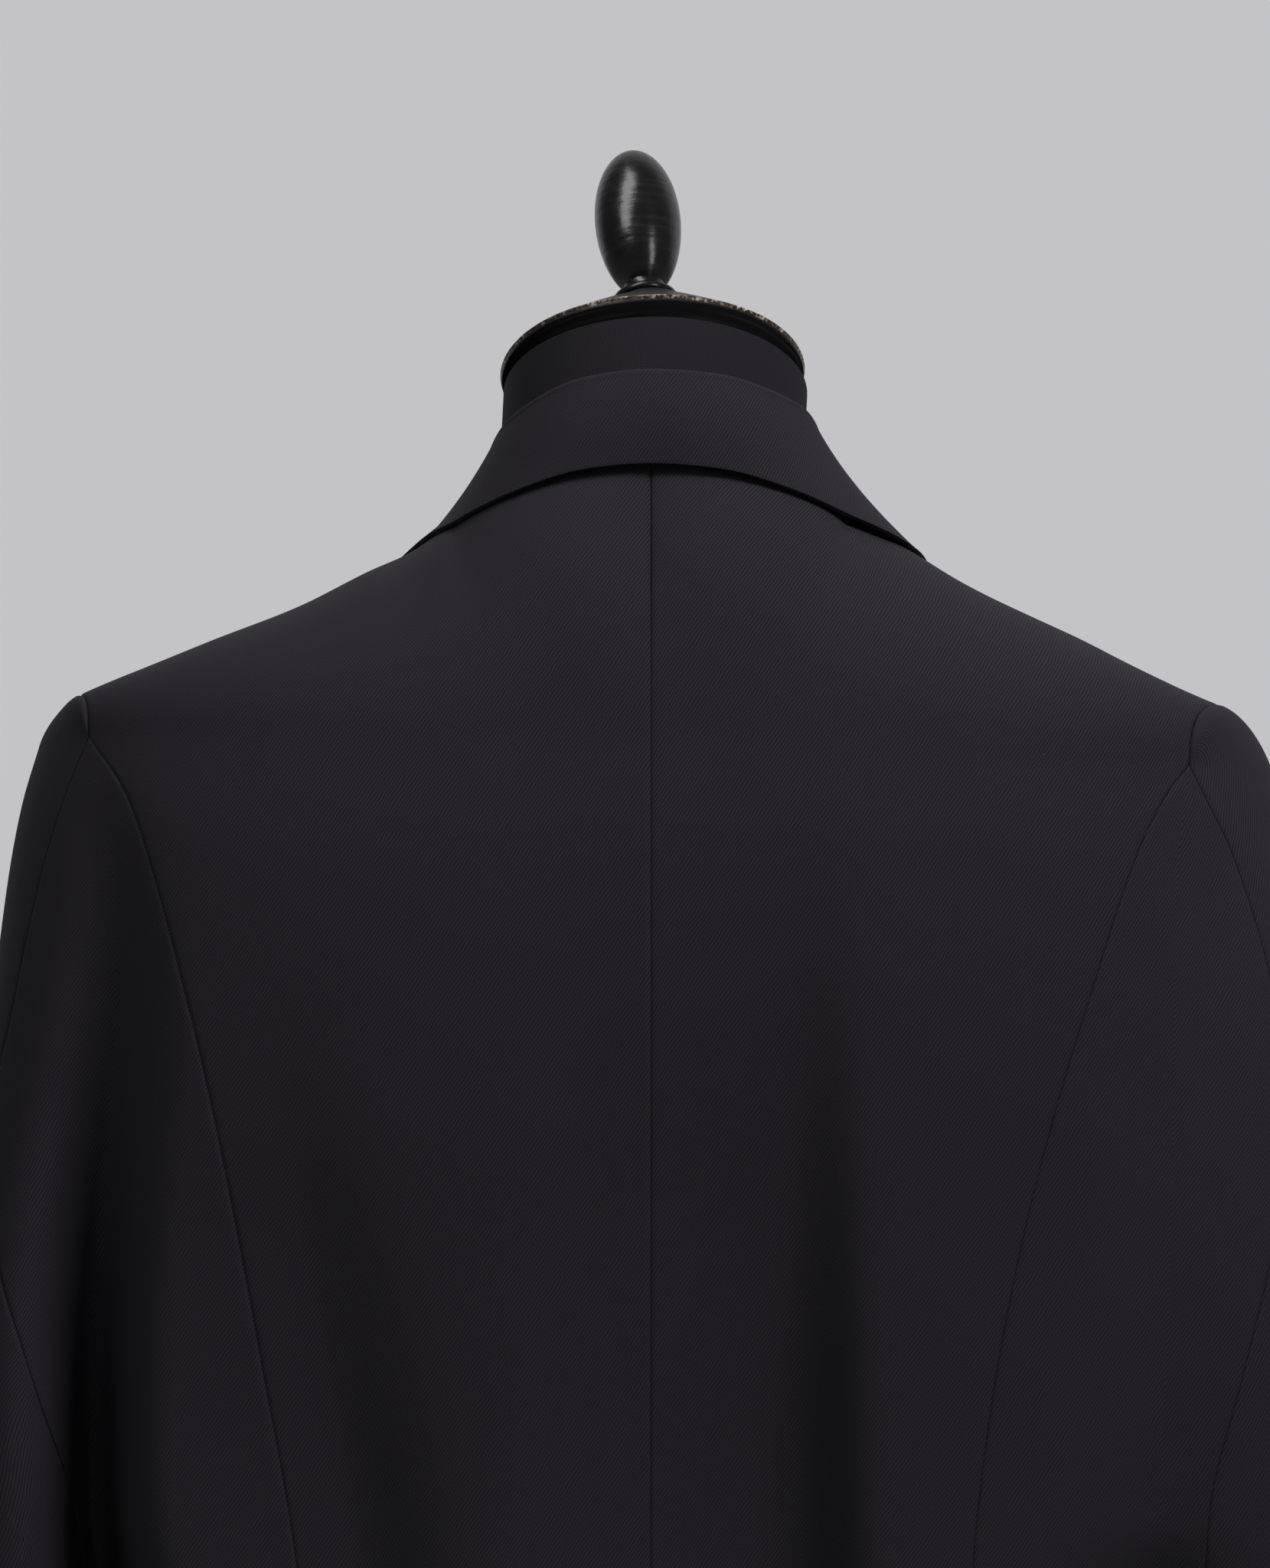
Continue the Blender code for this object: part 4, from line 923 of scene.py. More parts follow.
class SidePanel(Panel):
    """The side panel with its under sleeve, cut in one."""

    BODY_COLUMNS = 26
    ARM_COLUMNS = 20
    EVEN_BUNCH = 0.35
    BUNCH_ENDS = (0.02, 0.14)
    SEAMS = ((Face.BACK, "princess", "hindarm"), (Face.FRONT, "front_seam", "forearm"))

    def bunch(self, z: float) -> float:
        """Gather the columns where the cloth turns in to the fold.

        Args:
            z: The row's height.

        Returns:
            How much they are gathered, at most 1.
        """
        if z <= self.half.armpit_z:
            return 1.0
        gathered = 1.0 - smooth(*self.BUNCH_ENDS, z - self.half.armpit_z)
        return self.EVEN_BUNCH + (1.0 - self.EVEN_BUNCH) * gathered

    def strip(self, z: float, start: float, end: float, count: int, face: Face) -> Points:
        """Lay a row from a seam to the fold."""
        xs = spread(start, end, count, (True, False), self.bunch(z))
        return [self.half.place(x, z, face) for x in xs]

    def nets(self) -> list[Net]:
        """Lay the panel's four nets: body and arm, behind and in front.

        Returns:
            The nets.
        """
        half = self.half
        levels = half.levels()
        arm_levels = [z for z in levels if z >= CUFF_Z - TINY]
        out = []
        for face, near, far in self.SEAMS:
            body, arm = [], []
            for z in levels:
                section = half.section(z)
                end = section.fold - (0.0 if section.over_arm else section.body_gap)
                body.append(self.strip(z, getattr(section, near), end, self.BODY_COLUMNS, face))
            for z in arm_levels:
                section = half.section(z)
                end = section.fold + (0.0 if section.over_arm else section.sleeve_gap)
                arm.append(self.strip(z, getattr(section, far), end, self.ARM_COLUMNS, face))
            turned = (face is Face.BACK) == (half.sign < 0.0)
            grain = half.sign * face.value
            for rows, flip, way in ((body, turned, 1.0), (arm, not turned, -1.0)):
                seams = [seam_distances(row, (True, False)) for row in rows]
                starts = [way * abs(row[0].x) for row in rows]
                out.append(Net(rows, seams, flip, way * grain, starts))
        return out


class UpperSleeve(Panel):
    """The upper sleeve, from its cap at the armhole seam to the cuff."""

    COLUMNS = 34
    CAP_ROWS = 26
    CAP_BUNCH = 1.25
    CAP_TURN = 2.9
    CAP_DROP = -0.30
    BELOW_CAP = 0.012
    FRONT_SHARES = (0.2, 0.8, 1.05)

    def ring(self, z: float) -> Points:
        """Lay a row round the sleeve, past its outside.

        Args:
            z: The row's height.

        Returns:
            The points, from the hindarm seam to the forearm seam.
        """
        half = self.half
        section = half.section(z)
        behind = spread(section.hindarm, section.outer, self.COLUMNS, (True, False), 1.0)
        before = spread(section.forearm, section.outer, self.COLUMNS, (True, False), 1.0)
        row = [half.place(x, z, Face.BACK) for x in behind]
        return row + [half.place(x, z, Face.FRONT) for x in reversed(before[:-1])]

    def arch(self) -> Points:
        """Lay the armhole edge, from the tip behind over the shoulder to the tip in front.

        Returns:
            The edge.
        """
        count = self.COLUMNS + len(SEAM_STEPS) - 1
        back, front = BackPanel(self.half), FrontPanel(self.half)
        early, slow, fast = self.FRONT_SHARES
        out = [back.yoke_spot(1.0, math.sin(0.5 * math.pi * i / count)) for i in range(count + 1)]
        for i in range(1, count + 1):
            b = i / count
            out.append(front.yoke_spot(1.0, slow * b if b < early else fast * b + 1.0 - fast))
        return out

    def nets(self) -> list[Net]:
        """Lay the sleeve's one net, its cap first.

        Returns:
            The net.
        """
        half = self.half
        arch, ring = self.arch(), self.ring(half.tip_z)
        below = self.ring(half.tip_z - self.BELOW_CAP)
        rows = []
        for r in range(self.CAP_ROWS):
            t = math.sin(0.5 * math.pi * (r / self.CAP_ROWS) ** self.CAP_BUNCH)
            row = []
            for high, low, lower in zip(arch, ring, below):
                span = (low - high).length
                turn = self.CAP_TURN * (high.y + low.y)
                out = Vector((half.sign, turn, self.CAP_DROP)).normalized()
                rise = (low - lower).normalized() * (CAP_HANDLES[1] * span)
                row.append(bezier(high, high + out * (CAP_HANDLES[0] * span), low + rise, low, t))
            rows.append(row)
        seams = net_seams(rows, arch, (True, True))
        sleeve = [self.ring(z) for z in half.levels() if z >= CUFF_Z - TINY]
        seams += [seam_distances(row, (True, True)) for row in sleeve]
        rows += sleeve
        starts = [abs(row[0].x) - max(abs(spot.x) for spot in row) for row in rows]
        return [Net(rows, seams, half.sign < 0.0, half.sign, starts)]


@dataclass(frozen=True)
class Sewing:
    """How the cloth turns in along a seam."""

    depth: float = 0.0006
    width: float = 0.0008
    pucker: float = 0.00018
    pucker_width: float = 0.0060
    pucker_close: float = 95.0
    groove_reach: float = 2.0
    pucker_reach: float = 4.0

    def sink(self, meshes: Sequence[BMesh]) -> None:
        """Press the seams of all pieces in together, with the slight pucker of the stitches.

        Args:
            meshes: The pieces, with their seam layers.
        """
        close, wide = self.groove_reach * self.width, self.pucker_reach * self.pucker_width
        sewn: list[tuple[Vector, Vector]] = []
        for mesh in meshes:
            mesh.normal_update()
            layer = mesh.verts.layers.float["seam"]
            beside = [vert for vert in mesh.verts if vert[layer] < close]
            sewn += [(vert.co.copy(), vert.normal.copy()) for vert in beside]
        lines = KDTree(len(sewn))
        for i, (spot, _) in enumerate(sewn):
            lines.insert(spot, i)
        lines.balance()
        for mesh in meshes:
            layer = mesh.verts.layers.float["seam"]
            reached = [vert for vert in mesh.verts if vert[layer] < wide]
            for vert in reached:
                away = vert[layer]
                way = vert.normal
                if away < close:
                    found = lines.find_range(vert.co, close)
                    way = sum((sewn[i][1] for _, i, _ in found), Vector()).normalized()
                pull = self.depth * math.exp(-((away / self.width) ** 2))
                ripple = noise.noise(vert.co * self.pucker_close)
                pull += self.pucker * ripple * math.exp(-((away / self.pucker_width) ** 2))
                vert.co -= way * pull


MERGE = 0.00002
THIN = 1e-12


def cloth_mesh(nets: Sequence[Net]) -> BMesh:
    """Join a piece's nets into one sheet.

    Args:
        nets: The stretches of the piece.

    Returns:
        The sheet's outer surface.
    """
    mesh = bmesh.new()
    mesh.loops.layers.uv.new("UVMap")
    mesh.verts.layers.float.new("seam")
    for net in nets:
        net.mesh(mesh)
    bmesh.ops.remove_doubles(mesh, verts=mesh.verts, dist=MERGE)
    thin = [face for face in mesh.faces if face.calc_area() < THIN]
    bmesh.ops.delete(mesh, geom=thin, context="FACES_ONLY")
    return mesh


def stow(mesh: BMesh, name: str, material: Material) -> Object:
    """Turn a bmesh into an object of the scene.

    Args:
        mesh: The finished mesh, which is freed.
        name: The object's name.
        material: Its finish.

    Returns:
        The new object.
    """
    data = bpy.data.meshes.new(name)
    mesh.to_mesh(data)
    mesh.free()
    piece = bpy.data.objects.new(name, data)
    piece.data.materials.append(material)
    piece.data.shade_smooth()
    bpy.context.scene.collection.objects.link(piece)
    return piece


def outer_tree(meshes: Sequence[BMesh]) -> BVHTree:
    """Make a search tree of the outer surfaces of some sheets.

    Args:
        meshes: The sheets.

    Returns:
        The tree.
    """
    points: Points = []
    faces: list[list[int]] = []
    for mesh in meshes:
        start = len(points)
        mesh.verts.index_update()
        points += [vert.co.copy() for vert in mesh.verts]
        faces += [[start + vert.index for vert in face.verts] for face in mesh.faces]
    return BVHTree.FromPolygons(points, faces)


BEFORE_Y = -0.5
CHEST_Y = -0.115


def front_spot(tree: BVHTree, x: float, z: float) -> tuple[Vector, Vector]:
    """Find the surface as seen from the front.

    Args:
        tree: The surface.
        x: Signed distance from the centre line.
        z: Height.

    Returns:
        The point and the surface's normal there.
    """
    hit, normal, _, _ = tree.ray_cast(Vector((x, BEFORE_Y, z)), Vector((0.0, 1.0, 0.0)))
    if hit is None:
        hit, normal, _, _ = tree.find_nearest(Vector((x, CHEST_Y, z)))
    return hit, normal


class NeckEdge:
    """The garment's neck edge, from the centre back to the front's roll line."""

    SIDE = 4 / 7
    GORGE_Z = 1.404
    GORGE_RISE = 0.005
    STEPS = 60
    NEAR_POINT = 0.999999
    FOOT_STEP = 0.012

    def __init__(self) -> None:
        """Lay the edge from the same points as the panels."""
        front = FrontPanel(LEFT)
        self.line = [front.yoke_spot(0.0, i / self.STEPS) for i in range(self.STEPS + 1)]
        end = self.GORGE_Z + self.GORGE_RISE
        kept = [spot for spot in self.line if spot.z > end]
        self.front_line = [*kept, Vector((*self.at(end), end))]

    def at(self, z: float) -> tuple[float, float]:
        """Find the front's free edge above the yoke's low end.

        Args:
            z: Height.

        Returns:
            X and Y of the edge.
        """
        for high, low in zip(self.line, self.line[1:]):
            if low.z <= z:
                spot = high.lerp(low, (high.z - z) / max(high.z - low.z, LEAST))
                return spot.x, spot.y
        return self.line[-1].x, self.line[-1].y

    def edge_x(self, z: float) -> float:
        """Give the distance of the front's free edge from the centre at any height."""
        return roll_x(z) if z <= YOKE_Z else self.at(z)[0]

    def spot(self, t: float) -> Vector:
        """Give the edge's point at one of the collar's stations.

        Args:
            t: Share of the way from the centre back to the front end.

        Returns:
            The point.
        """
        if t <= self.SIDE:
            return shoulder_spot(LEFT, NECK_SHARE * t / self.SIDE * self.NEAR_POINT)[0]
        lengths = [(b - a).length for a, b in zip(self.front_line, self.front_line[1:])]
        left = sum(lengths) * (t - self.SIDE) / (1.0 - self.SIDE)
        for a, b, length in zip(self.front_line, self.front_line[1:], lengths):
            if left <= length:
                return a.lerp(b, left / max(length, LEAST))
            left -= length
        return self.front_line[-1].copy()

    def foot(self, t: float, rise: float) -> Vector:
        """Give the collar's inner foot, just inside and above the edge.

        Args:
            t: The station.
            rise: How far above the edge it stands.

        Returns:
            The point.
        """
        step = self.FOOT_STEP
        along = self.spot(min(t + step, 1.0)) - self.spot(max(t - step, 0.0))
        inward = Vector((along.y, -along.x, 0.0)) if t > 0.0 else Vector((0.0, -1.0, 0.0))
        return self.spot(t) + inward.normalized() * (WALL + rise) + Vector((0.0, 0.0, rise))


LAPEL_FULL = 0.088


@dataclass
class Lapel:
    """The turned part of a front."""

    half: Half
    edge: NeckEdge
    tree: BVHTree
    rows: int = 72
    across: int = 26
    inset: float = 0.0016
    lay: float = 0.0021
    lay_low: float = 0.0009
    lift: float = 0.0022
    point_z: float = 1.342
    belly: float = 0.0030
    thickness: float = 0.0020
    roll: float = 0.0045
    roll_lay: float = 0.0002
    crowding: float = 1.5
    bow: float = 0.0010
    lift_full: float = 0.3
    low_share: tuple[float, float] = (0.05, 0.35)
    bow_share: tuple[float, float] = (0.1, 0.5)

    def nets(self) -> list[Net]:
        """Lay the lapel on its front, lifted along the roll.

        Returns:
            The net.
        """
        rows = []
        low = self.edge.edge_x(BREAK_Z) + self.inset
        high = self.edge.edge_x(NeckEdge.GORGE_Z) + self.inset + LAPEL_FULL
        for r in range(self.rows + 1):
            t = r / self.rows
            level = BREAK_Z + (NeckEdge.GORGE_Z - BREAK_Z) * t
            start = self.edge.edge_x(level) + self.inset
            end = low + (high - low) * t + self.belly * math.sin(math.pi * t)
            end_z = BREAK_Z + (self.point_z - BREAK_Z) * t
            row = []
            for c in range(self.across + 1):
                s = (c / self.across) ** self.crowding
                x = self.half.sign * (start + (end - start) * s)
                hit, normal = front_spot(self.tree, x, level + (end_z - level) * s)
                raised = self.lift * (1.0 - s) ** 2 * smooth(0.0, self.lift_full, t)
                raised -= (self.lay - self.lay_low) * (1.0 - smooth(*self.low_share, t))
                bow = self.bow * math.sin(math.pi * s) * smooth(*self.bow_share, t)
                inner = 1.0 - min((end - start) * s / self.roll, 1.0)
                tuck = (self.lay + raised - self.roll_lay) * (1.0 - math.sqrt(1.0 - inner * inner))
                row.append(hit + normal * (self.lay + self.thickness + raised + bow - tuck))
            rows.append(row)
        return [Net(rows, free_of_seams(rows), self.half.sign < 0.0, -self.half.sign)]


COLLAR_NAMES = "t roll_x roll_y roll_z edge_x edge_y edge_z"
LEFT_COLLAR = (
    (0.0000, 0.0672, 1.4886, 0.0000, 0.0900, 1.4515),
    (0.0255, 0.0630, 1.4858, 0.0290, 0.0868, 1.4490),
    (0.0450, 0.0490, 1.4782, 0.0555, 0.0725, 1.4414),
    (0.0565, 0.0270, 1.4696, 0.0765, 0.0470, 1.4320),
    (0.0604, 0.0040, 1.4600, 0.0915, 0.0110, 1.4250),
    (0.0635, -0.0280, 1.4455, 0.1050, -0.0250, 1.4145),
    (0.0643, -0.0580, 1.4310, 0.1150, -0.0540, 1.4030),
    (0.0594, -0.0810, 1.4135, 0.1190, -0.0780, 1.3850),
)
RIGHT_COLLAR = (
    (0.0000, 0.0672, 1.4886, 0.0000, 0.0900, 1.4515),
    (0.0255, 0.0630, 1.4872, 0.0300, 0.0865, 1.4494),
    (0.0460, 0.0490, 1.4824, 0.0575, 0.0720, 1.4428),
    (0.0590, 0.0270, 1.4770, 0.0835, 0.0460, 1.4335),
    (0.0637, 0.0040, 1.4672, 0.1060, 0.0100, 1.4236),
    (0.0665, -0.0280, 1.4520, 0.1120, -0.0250, 1.4155),
    (0.0645, -0.0580, 1.4345, 0.1165, -0.0540, 1.4040),
    (0.0594, -0.0810, 1.4135, 0.1190, -0.0780, 1.3850),
)


@dataclass
class Collar:
    """The turned collar: its stand, its roll and its fall in one piece."""

    edge: NeckEdge
    tree: BVHTree
    stations: int = 84
    stand_steps: int = 10
    roll_steps: int = 12
    fall_steps: int = 28
    roll_radius: float = 0.0024
    rise: float = 0.0006
    front_rise: float = 0.0012
    bow_back: float = 0.0024
    bow_front: float = 0.0016
    bow_left: float = -0.0004
    bow_right: float = -0.0012
    notch: float = 0.018
    notch_start: float = 0.62
    gorge_gap: float = 0.0014
    thickness: float = 0.0017
    gap: float = 0.0004
    hold: float = 0.85
    reach: float = 0.030
    beside: float = 0.006
    inside: float = 0.8
    seam_side: float = 0.0012
    far_out: float = 0.060
    least_facing: float = 0.42
    loose: float = 0.8
    loose_from: tuple[float, float] = (0.35, 0.50)
    loose_to: tuple[float, float] = (0.62, 0.80)
    bow_rise: float = 0.8
    bow_from: tuple[float, float] = (0.15, 0.45)
    bow_to: tuple[float, float] = (0.65, 0.85)
    end_from: float = 0.86
    end_lift: float = 0.0022
    eased: int = 4
    charts: dict[float, Chart] = field(init=False, default_factory=dict)

    def __post_init__(self) -> None:
        """Set up the stations' charts, by the sign of their side, even across the centre back."""
        last = len(LEFT_COLLAR) - 1
        for sign, rows in ((1.0, LEFT_COLLAR), (-1.0, RIGHT_COLLAR)):
            stations = [(i / last, *row) for i, row in enumerate(rows)]
            across = ("t", "roll_x", "edge_x")
            flip = [-1.0 if name in across else 1.0 for name in COLLAR_NAMES.split()]
            mirrored = tuple(way * value for way, value in zip(flip, stations[1]))
            self.charts[sign] = Chart(COLLAR_NAMES, [mirrored, *stations])

    def gorge_line(self, x: float) -> float:
        """Give the height of the seam between collar and lapel at distance x."""
        start = self.edge.edge_x(NeckEdge.GORGE_Z) + Lapel.inset
        return NeckEdge.GORGE_Z - (NeckEdge.GORGE_Z - Lapel.point_z) * (x - start) / LAPEL_FULL

    def bow(self, t: float, sign: float) -> float:
        """Give how far the fall bulges at station t of the left (1) or right (-1) side.

        Args:
            t: The station.
            sign: 1 on the wearer's left and -1 on the right.

        Returns:
            The height of the bulge.
        """
        side = self.bow_left if sign > 0.0 else self.bow_right
        value = self.bow_back + (side - self.bow_back) * smooth(*self.bow_from, t)
        return value + (self.bow_front - side) * smooth(*self.bow_to, t)

    def off_cloth(self, spot: Vector, clear: float) -> Vector:
        """Keep a point off the garment.

        Args:
            spot: The point.
            clear: The least distance from the garment's outer surface.

        Returns:
            The moved point.
        """
        near, normal, _, distance = self.tree.find_nearest(spot)
        away = (spot - near).dot(normal)
        inside = away < -self.inside * distance
        if distance > self.reach or (distance > self.beside and not inside):
            return spot
        return spot + normal * max(clear - away, 0.0)

    def settled(self, edge: Vector, out: Vector, clear: float, hold: float) -> Vector:
        """Draw the falling edge towards the garment, level with the floor.

        Args:
            edge: The edge's point.
            out: The level way out from the neck.
            clear: The distance that the edge keeps from the garment's outer surface.
            hold: Share of any greater distance that is taken away.

        Returns:
            The moved point.
        """
        aside = math.copysign(max(abs(edge.x), self.seam_side), edge.x)
        beside_seam = Vector((aside, edge.y, edge.z))
        hit, normal, _, _ = self.tree.ray_cast(beside_seam + out * self.far_out, -out)
        if hit is None or (hit - beside_seam).length > self.reach:
            return edge
        lying = hit + out * (clear / max(normal.dot(out), self.least_facing))
        excess = (edge - lying).dot(out)
        return edge - out * (max(excess, 0.0) * hold)

    def station(self, t: float, sign: float) -> Points:
        """Lay one station, from the neck seam over the roll to the falling edge.

        Args:
            t: Share of the way from the centre back to the front end.
            sign: 1 on the wearer's left and -1 on the right.

        Returns:
            The station's points.
        """
        chart = self.charts[sign]
        value = {name: chart.read(name, t) for name in chart.names[1:]}
        up = Vector((0.0, 0.0, 1.0))
        seam = self.edge.foot(t, self.rise)
        seam.x *= sign
        roll = Vector((sign * value["roll_x"], value["roll_y"], value["roll_z"]))
        edge = Vector((sign * value["edge_x"], value["edge_y"], value["edge_z"]))
        out = Vector((edge.x - roll.x, edge.y - roll.y, 0.0)).normalized()
        foot = roll - up * self.roll_radius
        row = [seam.lerp(foot, k / self.stand_steps) for k in range(self.stand_steps)]
        for k in range(self.roll_steps + 1):
            angle = math.pi * (1.0 - k / self.roll_steps)
            turned = out * (1.0 + math.cos(angle)) + up * math.sin(angle)
            row.append(foot + turned * self.roll_radius)
        start = row[-1].copy()
        clear = self.thickness + self.gap + self.front_rise * smooth(NeckEdge.SIDE, 1.0, t)
        loose = self.loose * smooth(*self.loose_from, t) * (1.0 - smooth(*self.loose_to, t))
        edge = self.settled(edge, out, clear, self.hold * (1.0 - loose))
        bulge = (out + up * self.bow_rise).normalized() * self.bow(t, sign)
        for k in range(1, self.fall_steps + 1):
            s = k / self.fall_steps
            spot = self.off_cloth(start.lerp(edge, s) + bulge * math.sin(math.pi * s), clear)
            row.append(self.front_end(spot, s, t, clear) if t > self.end_from else spot)
        return row

    def front_end(self, spot: Vector, s: float, t: float, clear: float) -> Vector:
        """Draw a point of the fall to the collar's front end, with its side of the notch.

        Args:
            spot: The point.
            s: Share of the way from the roll to the falling edge.
            t: The station.
            clear: The least distance from the garment's outer surface.

        Returns:
            The moved point.
        """
        open_share = max(0.0, (s - self.notch_start) / (1.0 - self.notch_start))
        height = self.gorge_line(abs(spot.x)) + self.gorge_gap + self.notch * open_share
        hit, normal = front_spot(self.tree, spot.x, height)
        ended = hit + normal * (clear + self.end_lift * (1.0 - s) ** 2)
        if t < 1.0:
            ended = spot.lerp(ended, smooth(self.end_from, 1.0, t) ** 2)
        return self.off_cloth(ended, clear)

    def nets(self) -> list[Net]:
        """Lay the collar's one net, from one front end to the other.

        Returns:
            The net.
        """
        count = self.stations
        right = [self.station(i / count, -1.0) for i in range(count, 0, -1)]
        left = [self.station(i / count, 1.0) for i in range(count + 1)]
        rows = right + left
        for _ in range(self.eased):
            triples = zip(rows, rows[1:], rows[2:])
            middles = [[(a + b * 2.0 + c) * 0.25 for a, b, c in zip(*near)] for near in triples]
            rows = [rows[0], *middles, rows[-1]]
        return [Net(rows, free_of_seams(rows), True, 1.0, sideways=True)]


Input = NodeSocket | Row | float


class Nodes:
    """A node tree, with short calls for the nodes that the finishes and the studio share."""

    def __init__(self, tree: bpy.types.NodeTree) -> None:
        """Take the tree."""
        self.tree = tree

    def node(self, kind: str, **settings: object) -> bpy.types.Node:
        """Add a node and set its properties by name.

        Args:
            kind: The node's type.
            settings: Its properties.

        Returns:
            The node.
        """
        made = self.tree.nodes.new(kind)
        for name, value in settings.items():
            setattr(made, name, value)
        return made

    def join(self, source: NodeSocket, target: NodeSocket) -> None:
        """Link two sockets."""
        self.tree.links.new(source, target)

    def feed(self, socket: NodeSocket, value: Input) -> None:
        """Link a socket to another one, or set its number or its colour.

        Args:
            socket: The socket that is fed.
            value: Another node's output, a number, or the three parts of a colour or vector.
        """
        if isinstance(value, NodeSocket):
            self.join(value, socket)
        elif socket.type == "RGBA":
            socket.default_value = (*value, 1.0)
        else:
            socket.default_value = value

    def math(self, operation: str, *values: Input) -> NodeSocket:
        """Add a Math node of some numbers or sockets and give its result.

        Args:
            operation: The operation's name.
            values: What it works on.

        Returns:
            The result.
        """
        made = self.node("ShaderNodeMath", operation=operation)
        for socket, value in zip(made.inputs, values):
            self.feed(socket, value)
        return made.outputs[0]

    def mix(self, share: NodeSocket, a: Input, b: Input) -> NodeSocket:
        """Mix two colours or colour sockets by a share and give the result.

        Args:
            share: The share of the second one.
            a: The first one.
            b: The second one.

        Returns:
            The mixed colour.
        """
        made = self.node("ShaderNodeMix", data_type="RGBA")
        for number, value in ((0, share), (6, a), (7, b)):
            self.feed(made.inputs[number], value)
        return made.outputs[2]

    def ramp(self, value: NodeSocket, low: float, high: float) -> NodeSocket:
        """Map a value to 0 below low and 1 above high.

        Args:
            value: The value.
            low: Where the rise starts.
            high: Where it ends.

        Returns:
            The mapped value.
        """
        made = self.node("ShaderNodeMapRange", clamp=True, interpolation_type="SMOOTHSTEP")
        for socket, given in zip(made.inputs, (value, low, high)):
            self.feed(socket, given)
        return made.outputs[0]

    def noise(self, where: NodeSocket, scale: float, detail: float = 2.0) -> NodeSocket:
        """Add a noise pattern and give its value.

        Args:
            where: The place.
            scale: How close the pattern is.
            detail: How many finer layers it has.

        Returns:
            The pattern.
        """
        made = self.node("ShaderNodeTexNoise")
        for name, value in (("Vector", where), ("Scale", scale), ("Detail", detail)):
            self.feed(made.inputs[name], value)
        return made.outputs["Fac"]


class Paint(Nodes):
    """A material under way: its node tree with a Principled shader."""

    def __init__(self, name: str) -> None:
        """Start a material.

        Args:
            name: The material's name.
        """
        self.material = bpy.data.materials.new(name)
        self.material.use_nodes = True
        super().__init__(self.material.node_tree)
        self.shader = self.tree.nodes["Principled BSDF"]

    def bump(self, height: NodeSocket, distance: float, strength: float) -> None:
        """Raise the surface by a height pattern.

        Args:
            height: The pattern.
            distance: The height of its highest points.
            strength: The share of the height that shows.
        """
        made = self.node("ShaderNodeBump")
        for name, value in (("Height", height), ("Distance", distance), ("Strength", strength)):
            self.feed(made.inputs[name], value)
        self.join(made.outputs[0], self.shader.inputs["Normal"])

    def plain(self, **values: Input) -> None:
        """Feed the shader's own sockets, a space written as an underscore."""
        for name, value in values.items():
            self.feed(self.shader.inputs[name.replace("_", " ")], value)


@dataclass(frozen=True)
class Twill:
    """Black wool twill with steep fine lines, a little melange and lint."""

    name: str
    dark: Row
    light: Row
    period: float = 0.00118
    slope: float = math.radians(56.0)
    line_share: float = 0.55
    lint: float = 0.30
    yarn_length: float = 0.0011
    lint_colour: Row = (0.30, 0.29, 0.29)
    lint_close: float = 34.0
    lint_size: tuple[float, float] = (0.006, 0.011)
    lint_rare: float = 0.80

    def make(self) -> Material:
        """Build the finish on the piece's own UV map, which is in metres.

        Returns:
            The material.
        """
        paint = Paint(self.name)
        uv = paint.node("ShaderNodeUVMap", uv_map="UVMap").outputs[0]
        wander = paint.noise(uv, scale=130.0, detail=2.0)
        sine, cosine = math.sin(self.slope), math.cos(self.slope)
        across = (-sine / self.period, -cosine / self.period, 0.0)
        along = (cosine / self.yarn_length, -sine / self.yarn_length, 0.0)
        lines = self._waves(paint, uv, across, paint.math("MULTIPLY", wander, 1.3))
        yarn = self._waves(paint, uv, along, paint.math("MULTIPLY", wander, 2.5))
        grain = paint.noise(uv, scale=1500.0, detail=1.0)
        cloud = paint.noise(uv, scale=9.0, detail=3.0)
        weave = paint.math("MULTIPLY", lines, self.line_share)
        for pattern, share in ((grain, 0.3), (yarn, 0.12), (cloud, 0.20)):
            weave = paint.math("ADD", weave, paint.math("MULTIPLY", pattern, share))
        colour = paint.mix(paint.ramp(weave, 0.15, 1.05), self.dark, self.light)
        colour = paint.mix(self._specks(paint, uv), colour, self.lint_colour)
        height = paint.math("ADD", lines, paint.math("MULTIPLY", grain, 0.5))
        paint.bump(height, distance=0.00010, strength=0.55)
        paint.plain(Base_Color=colour, Roughness=0.80, Specular_IOR_Level=0.10)
        return paint.material

    def _waves(self, paint: Paint, uv: NodeSocket, way: Row, drift: NodeSocket) -> NodeSocket:
        """Draw even waves from 0 to 1.

        Args:
            paint: The material under way.
            uv: The place on the cloth.
            way: The waves' direction, as long as there are waves in a metre.
            drift: A pattern that lets them wander.

        Returns:
            The waves.
        """
        dot = paint.node("ShaderNodeVectorMath", operation="DOT_PRODUCT")
        paint.join(uv, dot.inputs[0])
        paint.feed(dot.inputs[1], way)
        phase = paint.math("ADD", dot.outputs["Value"], drift)
        wave = paint.math("SINE", paint.math("MULTIPLY", phase, 2.0 * math.pi))
        return paint.math("MULTIPLY_ADD", wave, 0.5, 0.5)

    def _specks(self, paint: Paint, uv: NodeSocket) -> NodeSocket:
        """Strew lint in a few cells of a pattern.

        Args:
            paint: The material under way.
            uv: The place on the cloth.

        Returns:
            The share of lint.
        """
        cells = paint.node("ShaderNodeTexVoronoi", feature="F1")
        paint.join(uv, cells.inputs["Vector"])
        paint.feed(cells.inputs["Scale"], self.lint_close)
        away = paint.ramp(cells.outputs["Distance"], *self.lint_size)
        parts = paint.node("ShaderNodeSeparateColor")
        paint.join(cells.outputs["Color"], parts.inputs[0])
        rare = paint.math("GREATER_THAN", parts.outputs[0], self.lint_rare)
        speck = paint.math("MULTIPLY", paint.math("SUBTRACT", 1.0, away), rare)
        return paint.math("MULTIPLY", speck, self.lint)


